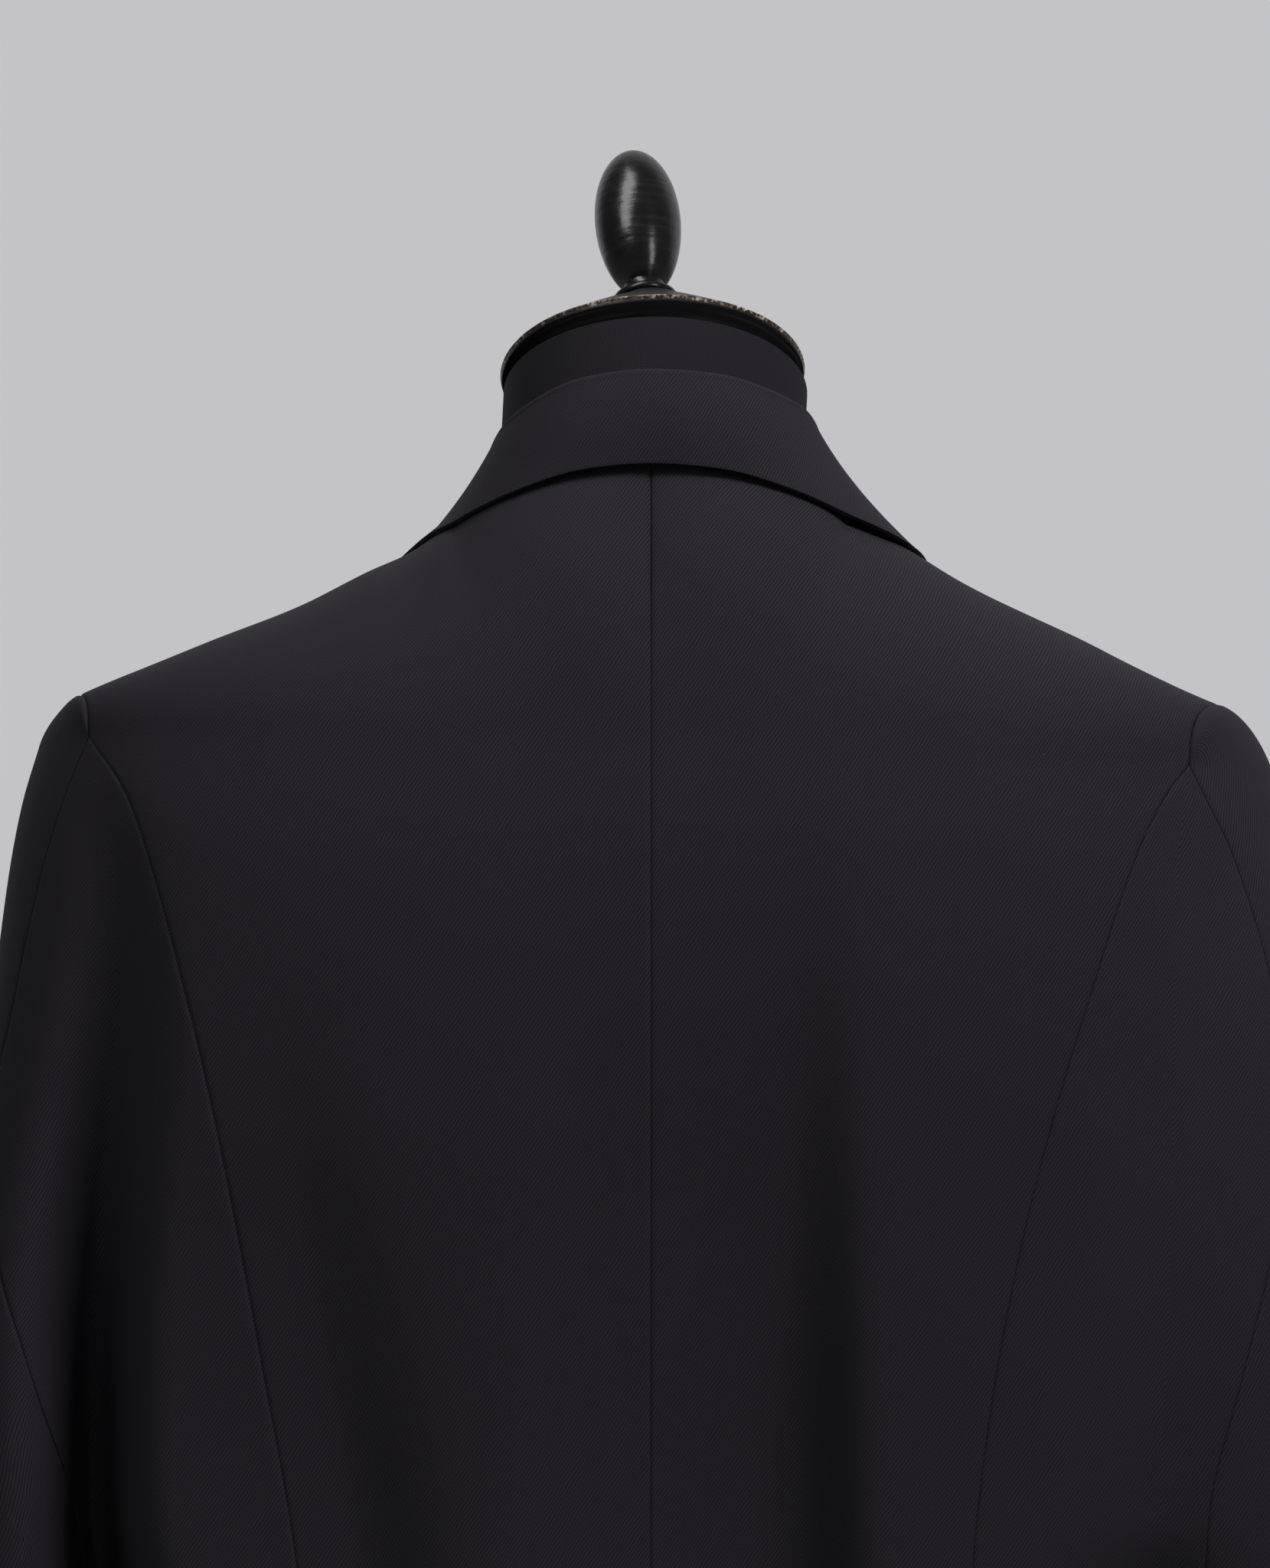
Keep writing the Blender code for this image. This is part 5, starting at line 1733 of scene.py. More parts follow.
@dataclass(frozen=True)
class TurnedWood:
    """Turned wood under old black gloss paint, worn along the sharp edge."""

    name: str
    worn: bool
    paint_dark: Row = (0.0045, 0.0045, 0.0050)
    paint_light: Row = (0.011, 0.0105, 0.010)
    wood_dark: Row = (0.11, 0.060, 0.024)
    wood_light: Row = (0.48, 0.40, 0.30)
    ring_scale: Row = (14.0, 420.0, 1.0)
    worn_rough: float = 0.34
    gloss_rough: float = 0.14

    def make(self) -> Material:
        """Build the finish on the piece's UV map: round it and down its profile, in metres.

        Returns:
            The material.
        """
        paint = Paint(self.name)
        uv = paint.node("ShaderNodeUVMap", uv_map="UVMap").outputs[0]
        stretch = paint.node("ShaderNodeMapping")
        paint.feed(stretch.inputs["Scale"], self.ring_scale)
        paint.join(uv, stretch.inputs["Vector"])
        rings = paint.noise(stretch.outputs[0], scale=1.0, detail=4.0)
        dents = paint.noise(uv, scale=240.0, detail=3.0)
        colour = paint.mix(paint.ramp(rings, 0.45, 0.75), self.paint_dark, self.paint_light)
        if self.worn:
            wear = paint.node("ShaderNodeAttribute", attribute_name="wear")
            chips = paint.noise(uv, scale=620.0, detail=4.0)
            patchy = paint.noise(uv, scale=70.0, detail=3.0)
            share = paint.math("MULTIPLY", wear.outputs["Fac"], paint.ramp(patchy, 0.22, 0.56))
            share = paint.math("MULTIPLY", share, paint.ramp(chips, 0.44, 0.57))
            tone = paint.noise(uv, scale=330.0, detail=2.0)
            bare = paint.mix(paint.ramp(tone, 0.42, 0.66), self.wood_dark, self.wood_light)
            colour = paint.mix(share, colour, bare)
            shine = paint.math("MULTIPLY", paint.ramp(wear.outputs["Fac"], -0.9, -0.1), 0.45)
            paint.plain(Specular_IOR_Level=shine)
        least = self.worn_rough if self.worn else self.gloss_rough
        paint.plain(Base_Color=colour, Roughness=paint.math("MULTIPLY_ADD", dents, 0.20, least))
        height = paint.math("MULTIPLY", rings, 0.8)
        height = paint.math("ADD", height, paint.math("MULTIPLY", dents, 0.6))
        paint.bump(height, distance=0.00030, strength=0.6)
        return paint.material


@dataclass(frozen=True)
class SatinMetal:
    """Powder-coated metal of the stand, with a fine orange peel."""

    name: str = "black_powder_coat"
    dark: Row = (0.013, 0.013, 0.014)
    light: Row = (0.024, 0.024, 0.025)

    def make(self) -> Material:
        """Build the finish on Object coordinates.

        Returns:
            The material.
        """
        paint = Paint(self.name)
        where = paint.node("ShaderNodeTexCoord").outputs["Object"]
        peel = paint.noise(where, scale=900.0, detail=2.0)
        scuffs = paint.noise(where, scale=35.0, detail=4.0)
        colour = paint.mix(paint.ramp(scuffs, 0.55, 0.75), self.dark, self.light)
        rough = paint.math("MULTIPLY_ADD", scuffs, 0.2, 0.34)
        paint.bump(peel, distance=0.00006, strength=0.4)
        paint.plain(Base_Color=colour, Roughness=rough, Metallic=0.3)
        return paint.material


@dataclass(frozen=True)
class Horn:
    """Black button horn with faint streaks."""

    name: str = "black_button_horn"
    dark: Row = (0.010, 0.009, 0.009)
    light: Row = (0.045, 0.035, 0.028)

    def make(self) -> Material:
        """Build the finish on Object coordinates.

        Returns:
            The material.
        """
        paint = Paint(self.name)
        where = paint.node("ShaderNodeTexCoord").outputs["Object"]
        streaks = paint.noise(where, scale=220.0, detail=5.0)
        colour = paint.mix(paint.ramp(streaks, 0.5, 0.8), self.dark, self.light)
        paint.bump(streaks, distance=0.00003, strength=0.3)
        paint.plain(Base_Color=colour, Roughness=0.32, Specular_IOR_Level=0.5)
        return paint.material


@dataclass(frozen=True)
class Pale:
    """Plain matt paint of the studio's floor, which looks as pale far off as near."""

    name: str
    colour: Row
    seen: Row
    glow: float

    def make(self) -> Material:
        """Build the finish.

        Returns:
            The material.
        """
        paint = Paint(self.name)
        looked_at = paint.node("ShaderNodeLightPath").outputs["Is Camera Ray"]
        glow = paint.math("MULTIPLY", looked_at, self.glow)
        paint.plain(Base_Color=paint.mix(looked_at, self.colour, self.seen))
        paint.plain(Emission_Color=self.seen, Emission_Strength=glow)
        paint.plain(Roughness=0.9, Specular_IOR_Level=0.1)
        return paint.material


@dataclass
class Turning:
    """A shape turned on the lathe: a profile of radius and height, spun round its axis."""

    name: str
    profile: Profile
    place: Matrix
    steps: int = 128
    wear: Callable[[float, float], float] | None = None
    merge: float = 0.000002
    sharp: float = math.radians(38.0)

    def make(self, material: Material) -> Object:
        """Spin the profile and set it in place.

        Args:
            material: The finish.

        Returns:
            The turned piece.
        """
        mesh = bmesh.new()
        uv = mesh.loops.layers.uv.new("UVMap")
        worn = mesh.verts.layers.float.new("wear")
        verts = [mesh.verts.new((radius, 0.0, height)) for radius, height in self.profile]
        edges = [mesh.edges.new(pair) for pair in zip(verts, verts[1:])]
        bmesh.ops.spin(
            mesh, geom=verts + edges, axis=(0.0, 0.0, 1.0), cent=(0.0, 0.0, 0.0),
            angle=2.0 * math.pi, steps=self.steps, use_merge=True,
        )
        bmesh.ops.remove_doubles(mesh, verts=mesh.verts, dist=self.merge)
        bmesh.ops.recalc_face_normals(mesh, faces=mesh.faces)
        length = [0.0]
        for a, b in zip(self.profile, self.profile[1:]):
            length.append(length[-1] + math.hypot(b[0] - a[0], b[1] - a[1]))
        widest = max(radius for radius, _ in self.profile)
        for vert in mesh.verts:
            if self.wear is not None:
                vert[worn] = self.wear(math.hypot(vert.co.x, vert.co.y), vert.co.z)
        for face in mesh.faces:
            middle = face.calc_center_median()
            base = math.atan2(middle.y, middle.x)
            for loop in face.loops:
                co = loop.vert.co
                turn = math.atan2(co.y, co.x) if math.hypot(co.x, co.y) > TINY else base
                turn = base + math.remainder(turn - base, 2.0 * math.pi)
                loop[uv].uv = (turn * widest, self._down(co, length))
        mesh.transform(self.place)
        piece = stow(mesh, self.name, material)
        piece.data.set_sharp_from_angle(angle=self.sharp)
        return piece

    def _down(self, co: Vector, length: list[float]) -> float:
        """Find how far down the profile a point lies.

        Args:
            co: The point.
            length: The way down at each point of the profile.

        Returns:
            The way down.
        """
        radius = math.hypot(co.x, co.y)
        away = [abs(wide - radius) + abs(high - co.z) for wide, high in self.profile]
        return length[away.index(min(away))]


def arc(centre: Row, radii: Row, span: Row, steps: int) -> Profile:
    """List points of an elliptic arc.

    Args:
        centre: Its centre's radius and height.
        radii: Its half widths.
        span: First and last angle in degrees, 0 outwards and 90 up.
        steps: Number of steps.

    Returns:
        The points, ends included.
    """
    out = []
    for i in range(steps + 1):
        angle = math.radians(span[0] + (span[1] - span[0]) * i / steps)
        out.append((centre[0] + radii[0] * math.cos(angle), centre[1] + radii[1] * math.sin(angle)))
    return out


@dataclass
class NeckTop:
    """Turned cap on the form's neck, and the egg-shaped finial on it."""

    tilt: float = math.radians(23.0)
    roll: float = math.radians(1.6)
    radius: float = 0.0606
    edge_x: float = -0.0010
    edge_y: float = -0.0205
    edge_z: float = 1.4985
    side: float = 0.0095
    dome: float = 0.0318
    bulge: float = 0.0004
    flange_radius: float = 0.0130
    flange: float = 0.0032
    neck: float = 0.0046
    neck_radius: float = 0.0083
    egg_radius: float = 0.0173
    egg_low: float = 0.0350
    egg_high: float = 0.0322
    shift: float = 0.0019
    lean: float = math.radians(3.2)
    seat_margin: float = 0.0008
    edge_round: float = 0.0006
    side_draw: float = 0.0028
    side_power: float = 1.6
    dome_steps: int = 22
    side_steps: int = 14
    neck_steps: int = 8
    neck_step: float = 0.0016
    wear_height: float = 0.0002
    wear_width: float = 0.0019
    wear_most: float = 1.8
    dull: tuple[float, float] = (0.0006, 0.0022)

    def place(self) -> Matrix:
        """Give the place of the cap's edge plane."""
        seat = Matrix.Translation((self.edge_x, self.edge_y, self.edge_z))
        return seat @ Matrix.Rotation(self.roll, 4, "Y") @ Matrix.Rotation(self.tilt, 4, "X")

    def cap_profile(self) -> Profile:
        """Draw the dome, the worn edge and the rounded side, top to bottom.

        Returns:
            The profile.
        """
        points = [(0.0, self.dome), (self.flange_radius + self.seat_margin, self.dome)]
        for i in range(1, self.dome_steps):
            share = i / self.dome_steps
            radius = self.flange_radius + (self.radius - self.flange_radius) * share
            height = self.dome * (1.0 - share) + self.bulge * math.sin(math.pi * share)
            points.append((radius, height))
        edge = self.edge_round
        points.append((self.radius - 2.0 * edge, edge))
        points += arc((self.radius - edge, -edge / 3.0), (edge, edge), (75.0, -40.0), 5)
        for i in range(1, self.side_steps + 1):
            share = i / self.side_steps
            radius = self.radius - 0.5 * edge - self.side_draw * share**self.side_power
            points.append((radius, -edge - (self.side - edge) * share))
        points.append((0.0, -self.side))
        return points

    def egg_profile(self) -> Profile:
        """Draw the egg, its thin neck and its flange, top to bottom.

        Returns:
            The profile.
        """
        turn = math.acos(self.neck_radius / self.egg_radius)
        middle = self.flange + self.neck + self.egg_low * math.sin(turn)
        points = arc((0.0, middle), (self.egg_radius, self.egg_high), (90.0, 0.0), 26)
        low_half = (self.egg_radius, self.egg_low)
        points += arc((0.0, middle), low_half, (-2.5, -math.degrees(turn)), 22)
        flare = self.flange_radius - self.neck_step - self.neck_radius
        for i in range(1, self.neck_steps + 1):
            share = i / self.neck_steps
            height = self.flange + self.neck * (1.0 - share)
            points.append((self.neck_radius + flare * share**4, height))
        rim = 0.5 * self.flange
        points += arc((self.flange_radius - rim, rim), (rim, rim), (85.0, -80.0), 8)
        points.append((0.0, 0.0))
        points[0] = (0.0, points[0][1])
        return points

    def wear(self, radius: float, height: float) -> float:
        """Give how worn the paint is: most on the sharp edge, and dull (below 0) under it.

        Args:
            radius: Distance from the axis.
            height: Height above the edge's plane.

        Returns:
            The wear.
        """
        away = math.hypot(radius - self.radius, height - self.wear_height)
        worn = min(1.0, math.exp(-((away / self.wear_width) ** 2)) * self.wear_most)
        return worn - smooth(*self.dull, -height)

    def build(self, worn: Material, gloss: Material) -> list[Object]:
        """Turn both pieces.

        Args:
            worn: The cap's finish.
            gloss: The finial's finish.

        Returns:
            The cap and the finial.
        """
        cap = Turning("cap_turned", self.cap_profile(), self.place(), steps=192, wear=self.wear)
        rise = self.dome + SEAM_GAP + self.flange_radius * math.sin(self.lean)
        seat = Matrix.Translation((self.shift, 0.0, rise)) @ Matrix.Rotation(self.lean, 4, "Y")
        egg = Turning("finial_turned", self.egg_profile(), self.place() @ seat, steps=128)
        return [cap.make(worn), egg.make(gloss)]


FORM_NAMES = "z half back front y power"
FORM = (
    (0.800, 0.1420, 0.0850, 0.0850, 0.000, 2.3),
    (0.808, 0.1520, 0.0870, 0.0920, 0.000, 2.3),
    (0.880, 0.1620, 0.0860, 0.0960, 0.000, 2.2),
    (0.960, 0.1500, 0.0800, 0.0920, 0.000, 2.2),
    (1.050, 0.1300, 0.0740, 0.0850, 0.000, 2.3),
    (1.140, 0.1400, 0.0790, 0.0960, 0.000, 2.3),
    (1.220, 0.1560, 0.0870, 0.1080, 0.000, 2.3),
    (1.280, 0.1640, 0.0910, 0.1070, 0.000, 2.3),
    (1.330, 0.1700, 0.0860, 0.0900, 0.000, 2.2),
    (1.3577, 0.1740, 0.0760, 0.0700, 0.002, 2.0),
    (1.3759, 0.1700, 0.0690, 0.0560, 0.003, 1.9),
    (1.3881, 0.1590, 0.0660, 0.0500, 0.004, 1.8),
    (1.3981, 0.1370, 0.0640, 0.0480, 0.005, 1.8),
    (1.4096, 0.1120, 0.0620, 0.0480, 0.005, 1.8),
    (1.4216, 0.0860, 0.0595, 0.0510, 0.005, 1.9),
    (1.432, 0.0680, 0.0575, 0.0540, 0.003, 2.0),
    (1.445, 0.0600, 0.0550, 0.0560, 0.000, 2.0),
)
FORM_CHART = Chart(FORM_NAMES, FORM)


@dataclass
class FormBody:
    """The padded torso and neck of the dress form under its stretched cover."""

    top: NeckTop
    neck_radius: float = 0.0603
    neck_shift: float = -0.0021
    columns: int = 120
    neck_rings: int = 16
    ring_step: float = 0.007
    sharp: float = math.radians(50.0)

    def ring(self, z: float) -> Points:
        """Lay one level ring of the torso."""
        value = {name: FORM_CHART.read(name, z) for name in FORM_CHART.names[1:]}
        return self._ring(z, value, 0.0)

    def _ring(self, z: float, value: dict[str, float], tilt: float) -> Points:
        """Lay a ring of given half widths.

        Args:
            z: Height of its middle.
            value: Its half widths, middle and roundness.
            tilt: Its turn about X.

        Returns:
            The ring, its first point repeated.
        """
        out = []
        power = 2.0 / value["power"]
        for i in range(self.columns + 1):
            angle = 2.0 * math.pi * (i % self.columns) / self.columns
            c, s = math.cos(angle), math.sin(angle)
            x = value["half"] * math.copysign(abs(c) ** power, c)
            deep = value["back"] if s >= 0.0 else value["front"]
            y = deep * math.copysign(abs(s) ** power, s)
            out.append(Vector((x, value["y"] + y * math.cos(tilt), z + y * math.sin(tilt))))
        return out

    def rows(self) -> list[Points]:
        """Lay the rings from the neck's top down to the torso's bottom.

        Returns:
            The rings.
        """
        low_z, low_half, low_deep = FORM[-1][:3]
        drop = self.top.side + SEAM_GAP
        top_y = self.top.edge_y + drop * math.sin(self.top.tilt)
        top_z = self.top.edge_z - drop * math.cos(self.top.tilt)
        out = []
        for i in range(self.neck_rings, 0, -1):
            t = i / self.neck_rings
            half = low_half + (self.neck_radius - low_half) * t
            deep = low_deep + (self.neck_radius - low_deep) * t
            value = {"half": half, "back": deep, "front": deep, "y": top_y * t, "power": 2.0}
            ring = self._ring(low_z + (top_z - low_z) * t, value, self.top.tilt * t)
            out.append([spot + Vector((self.neck_shift * t, 0.0, 0.0)) for spot in ring])
        for high, low in zip(FORM[::-1], FORM[-2::-1]):
            count = max(1, round((high[0] - low[0]) / self.ring_step))
            out += [self.ring(high[0] + (low[0] - high[0]) * i / count) for i in range(count)]
        out.append(self.ring(FORM[0][0]))
        return out

    def build(self, cover: Material) -> Object:
        """Close the rings into one body.

        Args:
            cover: The finish.

        Returns:
            The body.
        """
        rows = self.rows()
        mesh = cloth_mesh([Net(rows, free_of_seams(rows), False, 1.0)])
        rims = [edge for edge in mesh.edges if edge.is_boundary]
        bmesh.ops.holes_fill(mesh, edges=rims, sides=0)
        bmesh.ops.recalc_face_normals(mesh, faces=mesh.faces)
        piece = stow(mesh, "form_cover_cloth", cover)
        piece.data.set_sharp_from_angle(angle=self.sharp)
        return piece


@dataclass
class Stand:
    """Socket, pole and round base under the torso."""

    form_bottom: float = 0.800
    socket_radius: float = 0.030
    socket_drop: float = 0.045
    pole_radius: float = 0.014
    base_radius: float = 0.185
    base_height: float = 0.046
    edge: float = 0.0006

    def socket_profile(self) -> Profile:
        """Draw the socket: a rounded rim, a bead, a hollow and a narrow foot.

        Returns:
            The profile.
        """
        top, low = self.form_bottom - SEAM_GAP, self.form_bottom - self.socket_drop
        wide = self.socket_radius
        points = [(0.0, top), *arc((wide - 0.001, top - 0.001), (0.001, 0.001), (90.0, 0.0), 4)]
        points += arc((wide - 0.0025, top - 0.0085), (0.0025, 0.0030), (0.0, -90.0), 6)
        points += arc((wide * 0.83, top - 0.0185), (0.0032, 0.0062), (110.0, 180.0), 6)
        return points + [(wide * 0.66, low + 0.004), (wide * 0.60, low), (0.0, low)]

    def pole_profile(self) -> Profile:
        """Draw the pole, its ends rounded a little.

        Returns:
            The profile.
        """
        top, low = self.form_bottom - self.socket_drop - SEAM_GAP, self.base_height + SEAM_GAP
        inner, edge = self.pole_radius - self.edge, self.edge
        points = [(0.0, top), *arc((inner, top - edge), (edge, edge), (90.0, 0.0), 3)]
        return points + [*arc((inner, low + edge), (edge, edge), (0.0, -90.0), 3), (0.0, low)]

    def base_profile(self) -> Profile:
        """Draw the base: the hub that holds the pole, and the dished plate with its rounded rim.

        Returns:
            The profile.
        """
        high, base = self.base_height, self.base_radius
        points = [(0.0, high), (0.021, high)]
        points += arc((0.023, high - 0.002), (0.002, 0.002), (80.0, 0.0), 4)
        hub = ((0.0262, 0.010), (0.0285, 0.015), (0.0330, 0.019), (0.0400, 0.022))
        points += [(radius, high - drop) for radius, drop in hub]
        plate = ((0.32, 0.0215), (0.60, 0.0170), (0.80, 0.0145), (0.93, 0.0125))
        points += [(base * share, height) for share, height in plate]
        points += arc((base - 0.004, 0.0080), (0.004, 0.0040), (75.0, 0.0), 5)
        return points + [(base, 0.0015), (base - 0.0015, 0.0), (0.0, 0.0)]

    def build(self, wood: Material, metal: Material) -> list[Object]:
        """Turn the three pieces.

        Args:
            wood: The socket's finish.
            metal: The finish of pole and base.

        Returns:
            The pieces, from the top down.
        """
        rest = Matrix.Identity(4)
        return [
            Turning("socket_turned", self.socket_profile(), rest, steps=96).make(wood),
            Turning("pole_round", self.pole_profile(), rest, steps=64).make(metal),
            Turning("base_round", self.base_profile(), rest, steps=192).make(metal),
        ]


@dataclass
class Button:
    """The front's button, dished, with the crossed thread that holds it."""

    tree: BVHTree
    radius: float = 0.0100
    thick: float = 0.0036
    dish: float = 0.28
    stitch_reach: float = 0.002565
    stitch_half: tuple[float, float] = (0.00035, 0.0004)
    stitch_rise: float = 0.0002

    def build(self, horn: Material, thread: Material) -> list[Object]:
        """Turn the button, and sew it on.

        Args:
            horn: The button's finish.
            thread: The thread's finish.

        Returns:
            The button and its thread.
        """
        hit, normal = front_spot(self.tree, 0.0, BUTTON_Z)
        centre = hit + normal * (SEAM_GAP + 0.5 * self.thick)
        turn = normal.to_track_quat("Z", "Y").to_matrix().to_4x4()
        place = Matrix.Translation(centre) @ turn
        r, h = self.radius, self.thick
        rim = ((0.62, self.dish), (0.70, 0.31), (0.76, 0.40), (0.82, 0.47))
        profile = [(0.0, self.dish * h), *[(wide * r, high * h) for wide, high in rim]]
        profile += arc((0.90 * r, 0.0), (0.10 * r, 0.50 * h), (88.0, -88.0), 14)
        profile.append((0.0, -0.50 * h))
        disc = Turning("button_disc", profile, place, steps=64).make(horn)
        stitches = bmesh.new()
        bar = Matrix.Diagonal((self.stitch_reach, *self.stitch_half, 1.0))
        lift = Matrix.Translation((0.0, 0.0, self.dish * h + self.stitch_rise))
        for degrees in (45.0, 135.0):
            made = bmesh.ops.create_uvsphere(stitches, u_segments=16, v_segments=8, radius=1.0)
            angle = Matrix.Rotation(math.radians(degrees), 4, "Z")
            bmesh.ops.transform(stitches, matrix=place @ lift @ angle @ bar, verts=made["verts"])
        return [disc, stow(stitches, "button_thread", thread)]


@dataclass(frozen=True)
class Cut:
    """How a sheet was cut before it was sewn: its flat width and length, and its flat area."""

    width: float
    length: float
    area: float


@dataclass
class Tailoring:
    """Dresses the sheets: thickness, turned edges, and what each one stands for."""

    wool: Material
    sewing: Sewing = field(default_factory=Sewing)
    edge_share: float = 0.3
    edge_steps: int = 2
    edge_angle: float = math.radians(60.0)

    def finish(self, mesh: BMesh, node: str, thickness: float, eased: bool) -> None:
        """Args:
            mesh: The sheet's outer surface.
            node: The solid that it stands for.
            thickness: The cloth's thickness.
            eased: Whether its free edges are pressed round.
        """
        area = sum(face.calc_area() for face in mesh.faces)
        piece = stow(mesh, f"{node}_cloth", self.wool)
        wall = piece.modifiers.new("cloth_thickness", "SOLIDIFY")
        wall.thickness = thickness
        wall.offset = -1.0
        wall.use_rim = True
        if eased:
            edge = piece.modifiers.new("pressed_edge", "BEVEL")
            edge.width = self.edge_share * thickness
            edge.segments = self.edge_steps
            edge.limit_method = "ANGLE"
            edge.angle_limit = self.edge_angle
        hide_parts(node)
        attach(piece, BODY)
        LOG.info("%s laid, %.4f m2 of cloth", piece.name, area)


class Blazer:
    """The whole garment."""

    def __init__(self, wool: Material) -> None:
        """Take the cloth."""
        self.tailoring = Tailoring(wool)

    def panels(self) -> dict[str, BMesh]:
        """Lay all the sewn panels and give them by their node's name.

        Returns:
            The sheets by the names of their nodes.
        """
        kinds = {
            "back": BackPanel,
            "front": FrontPanel,
            "side_undersleeve": SidePanel,
            "upper_sleeve": UpperSleeve,
        }
        laid = {
            f"{kind}_{half.name}": cloth_mesh(make(half).nets())
            for half in (LEFT, RIGHT)
            for kind, make in kinds.items()
        }
        for mesh in laid.values():
            for vert in mesh.verts:
                vert.co.z += neck_swell(vert.co)
        return laid

    def build(self) -> BVHTree:
        """Lay every piece of the garment.

        Returns:
            A search tree of the panels' outer surface.
        """
        panels = self.panels()
        edge = NeckEdge()
        whole = outer_tree(list(panels.values()))
        for half in (LEFT, RIGHT):
            tree = outer_tree([panels[f"front_{half.name}"]])
            mesh = cloth_mesh(Lapel(half, edge, tree).nets())
            self.tailoring.finish(mesh, f"lapel_{half.name}", Lapel.thickness, True)
        mesh = cloth_mesh(Collar(edge, whole).nets())
        self.tailoring.finish(mesh, "collar", Collar.thickness, True)
        self.tailoring.sewing.sink(list(panels.values()))
        for node, mesh in panels.items():
            self.tailoring.finish(mesh, node, WALL, False)
        return whole


class Seen(Enum):
    """What a studio light is there for: the shade of the cloth or the shine of the gloss."""

    CLOTH = "cloth"
    GLOSS = "gloss"


@dataclass(frozen=True)
class SoftBox:
    """A lamp behind a square of cloth."""

    name: str
    place: Row
    size: Row
    power: float
    seen: Seen


SOFT_BOXES = (
    SoftBox("key_soft_box", (-0.86, 0.96, 2.79), (0.65, 0.65), 41.5, Seen.CLOTH),
    SoftBox("left_fill_box", (0.62, 0.42, 1.80), (0.30, 0.30), 0.9, Seen.CLOTH),
    SoftBox("window", (-1.50, 2.02, 1.95), (0.40, 1.50), 13.0, Seen.GLOSS),
    SoftBox("top_soft_box", (1.00, 1.05, 3.45), (0.95, 2.40), 42.0, Seen.GLOSS),
    SoftBox("front_soft_box", (0.6, -2.4, 2.6), (1.6, 1.6), 42.0, Seen.CLOTH),
)


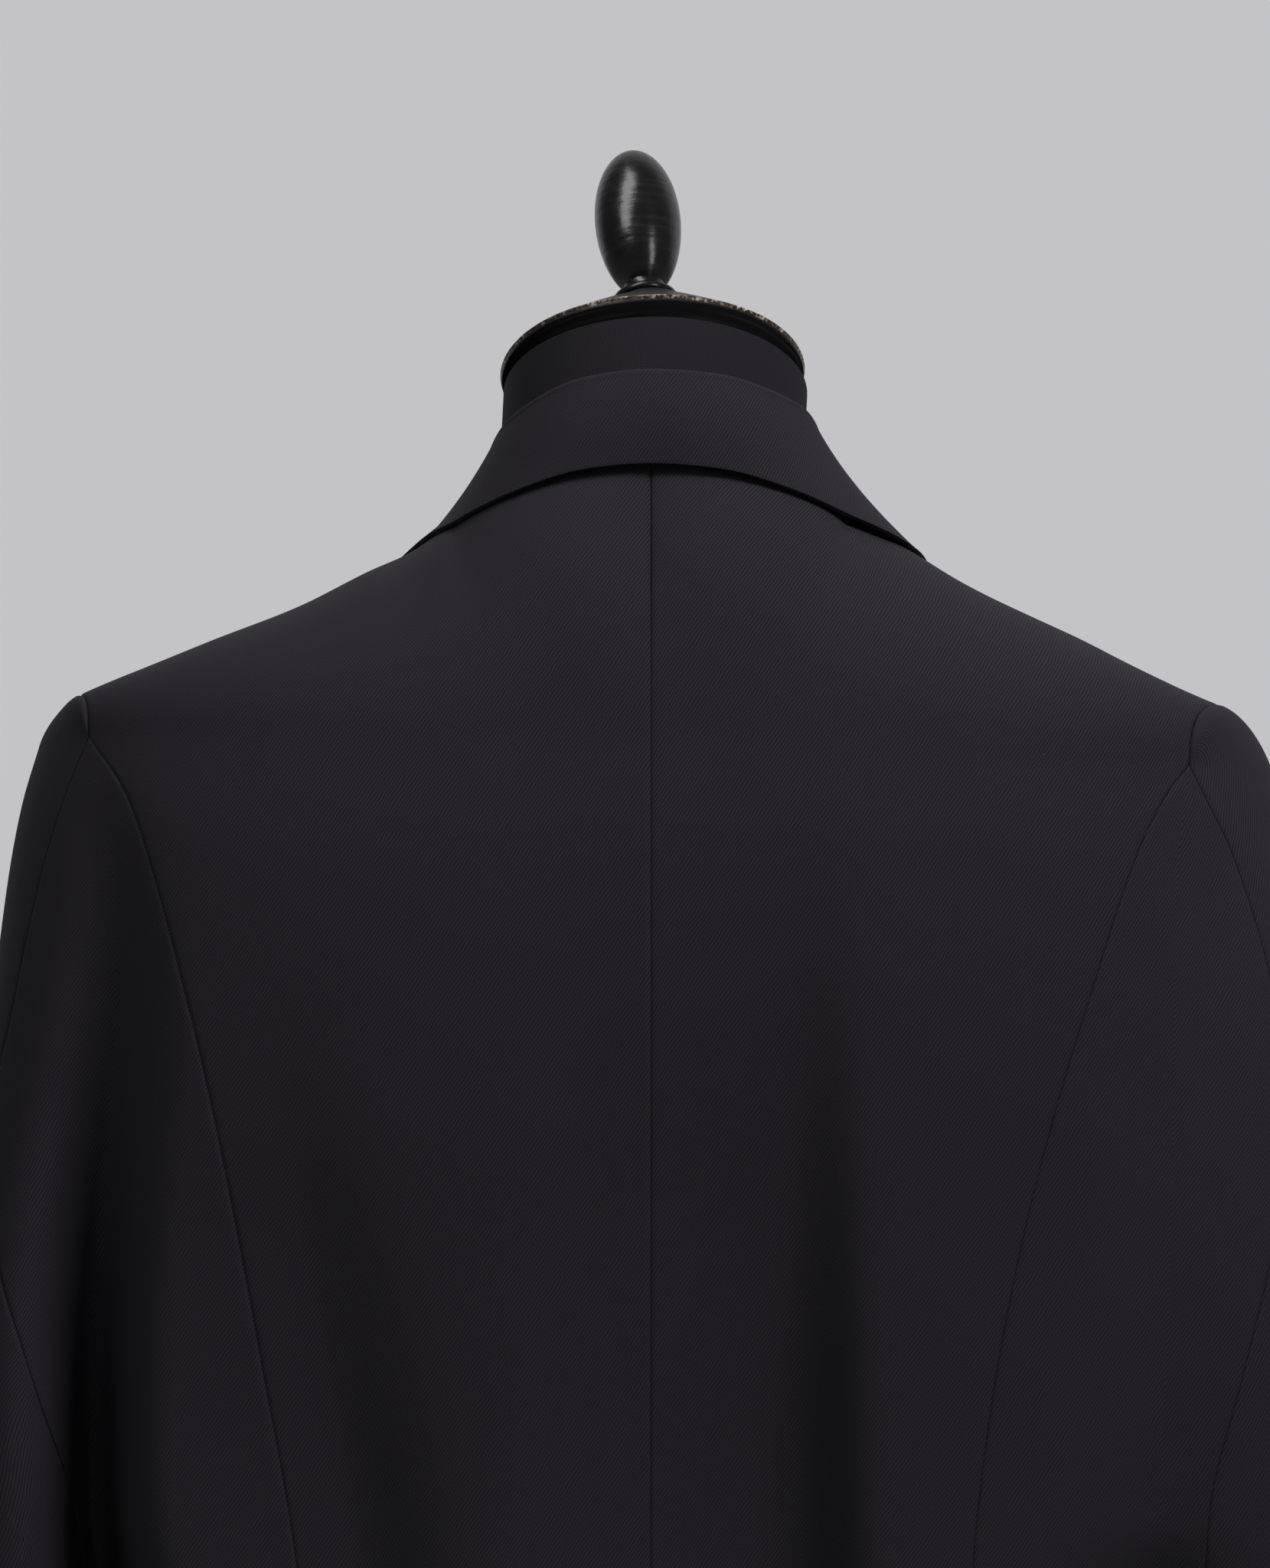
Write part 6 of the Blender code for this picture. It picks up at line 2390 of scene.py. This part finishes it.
@dataclass
class Studio:
    """Floor, light and camera."""

    floor_colour: Row = (0.62, 0.615, 0.625)
    floor_seen: Row = (0.35, 0.347, 0.356)
    floor_glow: float = 1.0
    floor_half: float = 40.0
    floor_drop: float = 0.0005
    air: Row = (0.552, 0.547, 0.564)
    room: Row = (0.101, 0.099, 0.107)
    room_left: float = 0.35
    room_ends: tuple[float, float] = (-0.55, -0.05)
    lit: Row = (0.0, 0.0, 1.28)
    eye: Row = (0.006, 2.60, 1.15)
    aim: Row = (0.006, 0.05, 1.330)
    lens: float = 152.3
    sensor: float = 36.0

    def hang(self, name: str, data: bpy.types.ID, place: Row, aim: Row) -> Object:
        """Set up a lamp or camera.

        Args:
            name: Its name.
            data: The lamp or the camera.
            place: Where it hangs.
            aim: The point that it faces.

        Returns:
            The object.
        """
        item = bpy.data.objects.new(name, data)
        item.location = place
        item.rotation_mode = "QUATERNION"
        item.rotation_quaternion = (Vector(aim) - Vector(place)).to_track_quat("-Z", "Y")
        bpy.context.scene.collection.objects.link(item)
        return item

    def light(self, box: SoftBox) -> None:
        """Hang a soft box that faces the garment's shoulders.

        Args:
            box: Its place, size, power and use.
        """
        lamp = bpy.data.lights.new(box.name, "AREA")
        lamp.shape = "RECTANGLE"
        lamp.size, lamp.size_y = box.size
        lamp.energy = box.power
        item = self.hang(box.name, lamp, box.place, self.lit)
        item.visible_glossy = box.seen is Seen.GLOSS
        item.visible_diffuse = box.seen is Seen.CLOTH

    def surroundings(self) -> bpy.types.World:
        """Make the pale backdrop, which stands behind the object only, and the dimmer room.

        Returns:
            The scene's world.
        """
        world = bpy.data.worlds.new("studio_air")
        world.use_nodes = True
        air = Nodes(world.node_tree)
        seen = air.tree.nodes["Background"]
        air.feed(seen.inputs[0], self.air)
        room = air.node("ShaderNodeBackground")
        way = air.node("ShaderNodeSeparateXYZ")
        air.join(air.node("ShaderNodeTexCoord").outputs["Generated"], way.inputs[0])
        left = air.math("MAXIMUM", way.outputs["X"], 0.0)
        behind = air.math("MULTIPLY_ADD", left, self.room_left, way.outputs["Y"])
        air.join(air.mix(air.ramp(behind, *self.room_ends), self.air, self.room), room.inputs[0])
        rays = air.node("ShaderNodeLightPath")
        choice = air.node("ShaderNodeMixShader")
        shown = (rays.outputs["Is Camera Ray"], room.outputs[0], seen.outputs[0])
        for source, target in zip(shown, choice.inputs):
            air.join(source, target)
        air.join(choice.outputs[0], air.tree.nodes["World Output"].inputs["Surface"])
        return world

    def floor(self) -> None:
        """Lay the floor."""
        mesh = bmesh.new()
        bmesh.ops.create_grid(mesh, x_segments=1, y_segments=1, size=self.floor_half)
        bmesh.ops.translate(mesh, verts=mesh.verts, vec=(0.0, 0.0, -self.floor_drop))
        paint = Pale("floor_paint", self.floor_colour, self.floor_seen, self.floor_glow)
        stow(mesh, "studio_floor", paint.make())

    def build(self) -> None:
        """Set up the studio."""
        self.floor()
        scene = bpy.context.scene
        scene.world = self.surroundings()
        scene.view_settings.view_transform = "Standard"
        for box in SOFT_BOXES:
            self.light(box)
        lens = bpy.data.cameras.new("photo_camera")
        lens.lens = self.lens
        lens.sensor_width = self.sensor
        lens.sensor_fit = "AUTO"
        scene.camera = self.hang("photo_camera", lens, self.eye, self.aim)


def stand_for(pieces: Sequence[Object], node: str) -> None:
    """Let some hard pieces stand for a solid and ride with the part.

    Args:
        pieces: The pieces, first the one that replaces the solid.
        node: The solid.
    """
    for piece in pieces:
        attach(piece, BODY)
    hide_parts(node)
    LOG.info("%s stands for %s", pieces[0].name, node)


def main() -> None:
    """Build the looks round the frame, in order."""
    logging.basicConfig(level=logging.INFO, format="%(message)s")
    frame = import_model()
    LOG.info("frame of %d solids", len(frame["nodes"]))
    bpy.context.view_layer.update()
    wool = Twill("black_wool_twill", (0.0122, 0.0110, 0.0130), (0.0290, 0.0262, 0.0315)).make()
    cover = Twill(
        "form_cover_jersey", (0.0120, 0.0108, 0.0130), (0.0260, 0.0236, 0.0285),
        period=0.0009, slope=math.radians(88.0), line_share=0.25, lint=0.5,
    ).make()
    thread = Twill(
        "button_thread_silk", (0.012, 0.011, 0.012), (0.03, 0.028, 0.03), period=0.0004
    ).make()
    worn = TurnedWood("black_paint_worn", True).make()
    gloss = TurnedWood("black_paint_gloss", False).make()
    metal = SatinMetal().make()
    surface = Blazer(wool).build()
    top = NeckTop()
    cap, egg = top.build(worn, gloss)
    stand_for([cap], "neck_cap")
    stand_for([egg], "finial")
    stand_for([FormBody(top).build(cover)], "form_torso")
    socket, pole, base = Stand().build(gloss, metal)
    stand_for([socket], "stand_socket")
    stand_for([pole], "stand_pole")
    stand_for([base], "stand_base")
    stand_for(Button(surface).build(Horn().make(), thread), "button_front")
    Studio().build()
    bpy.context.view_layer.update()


if __name__ == "__main__":
    main()
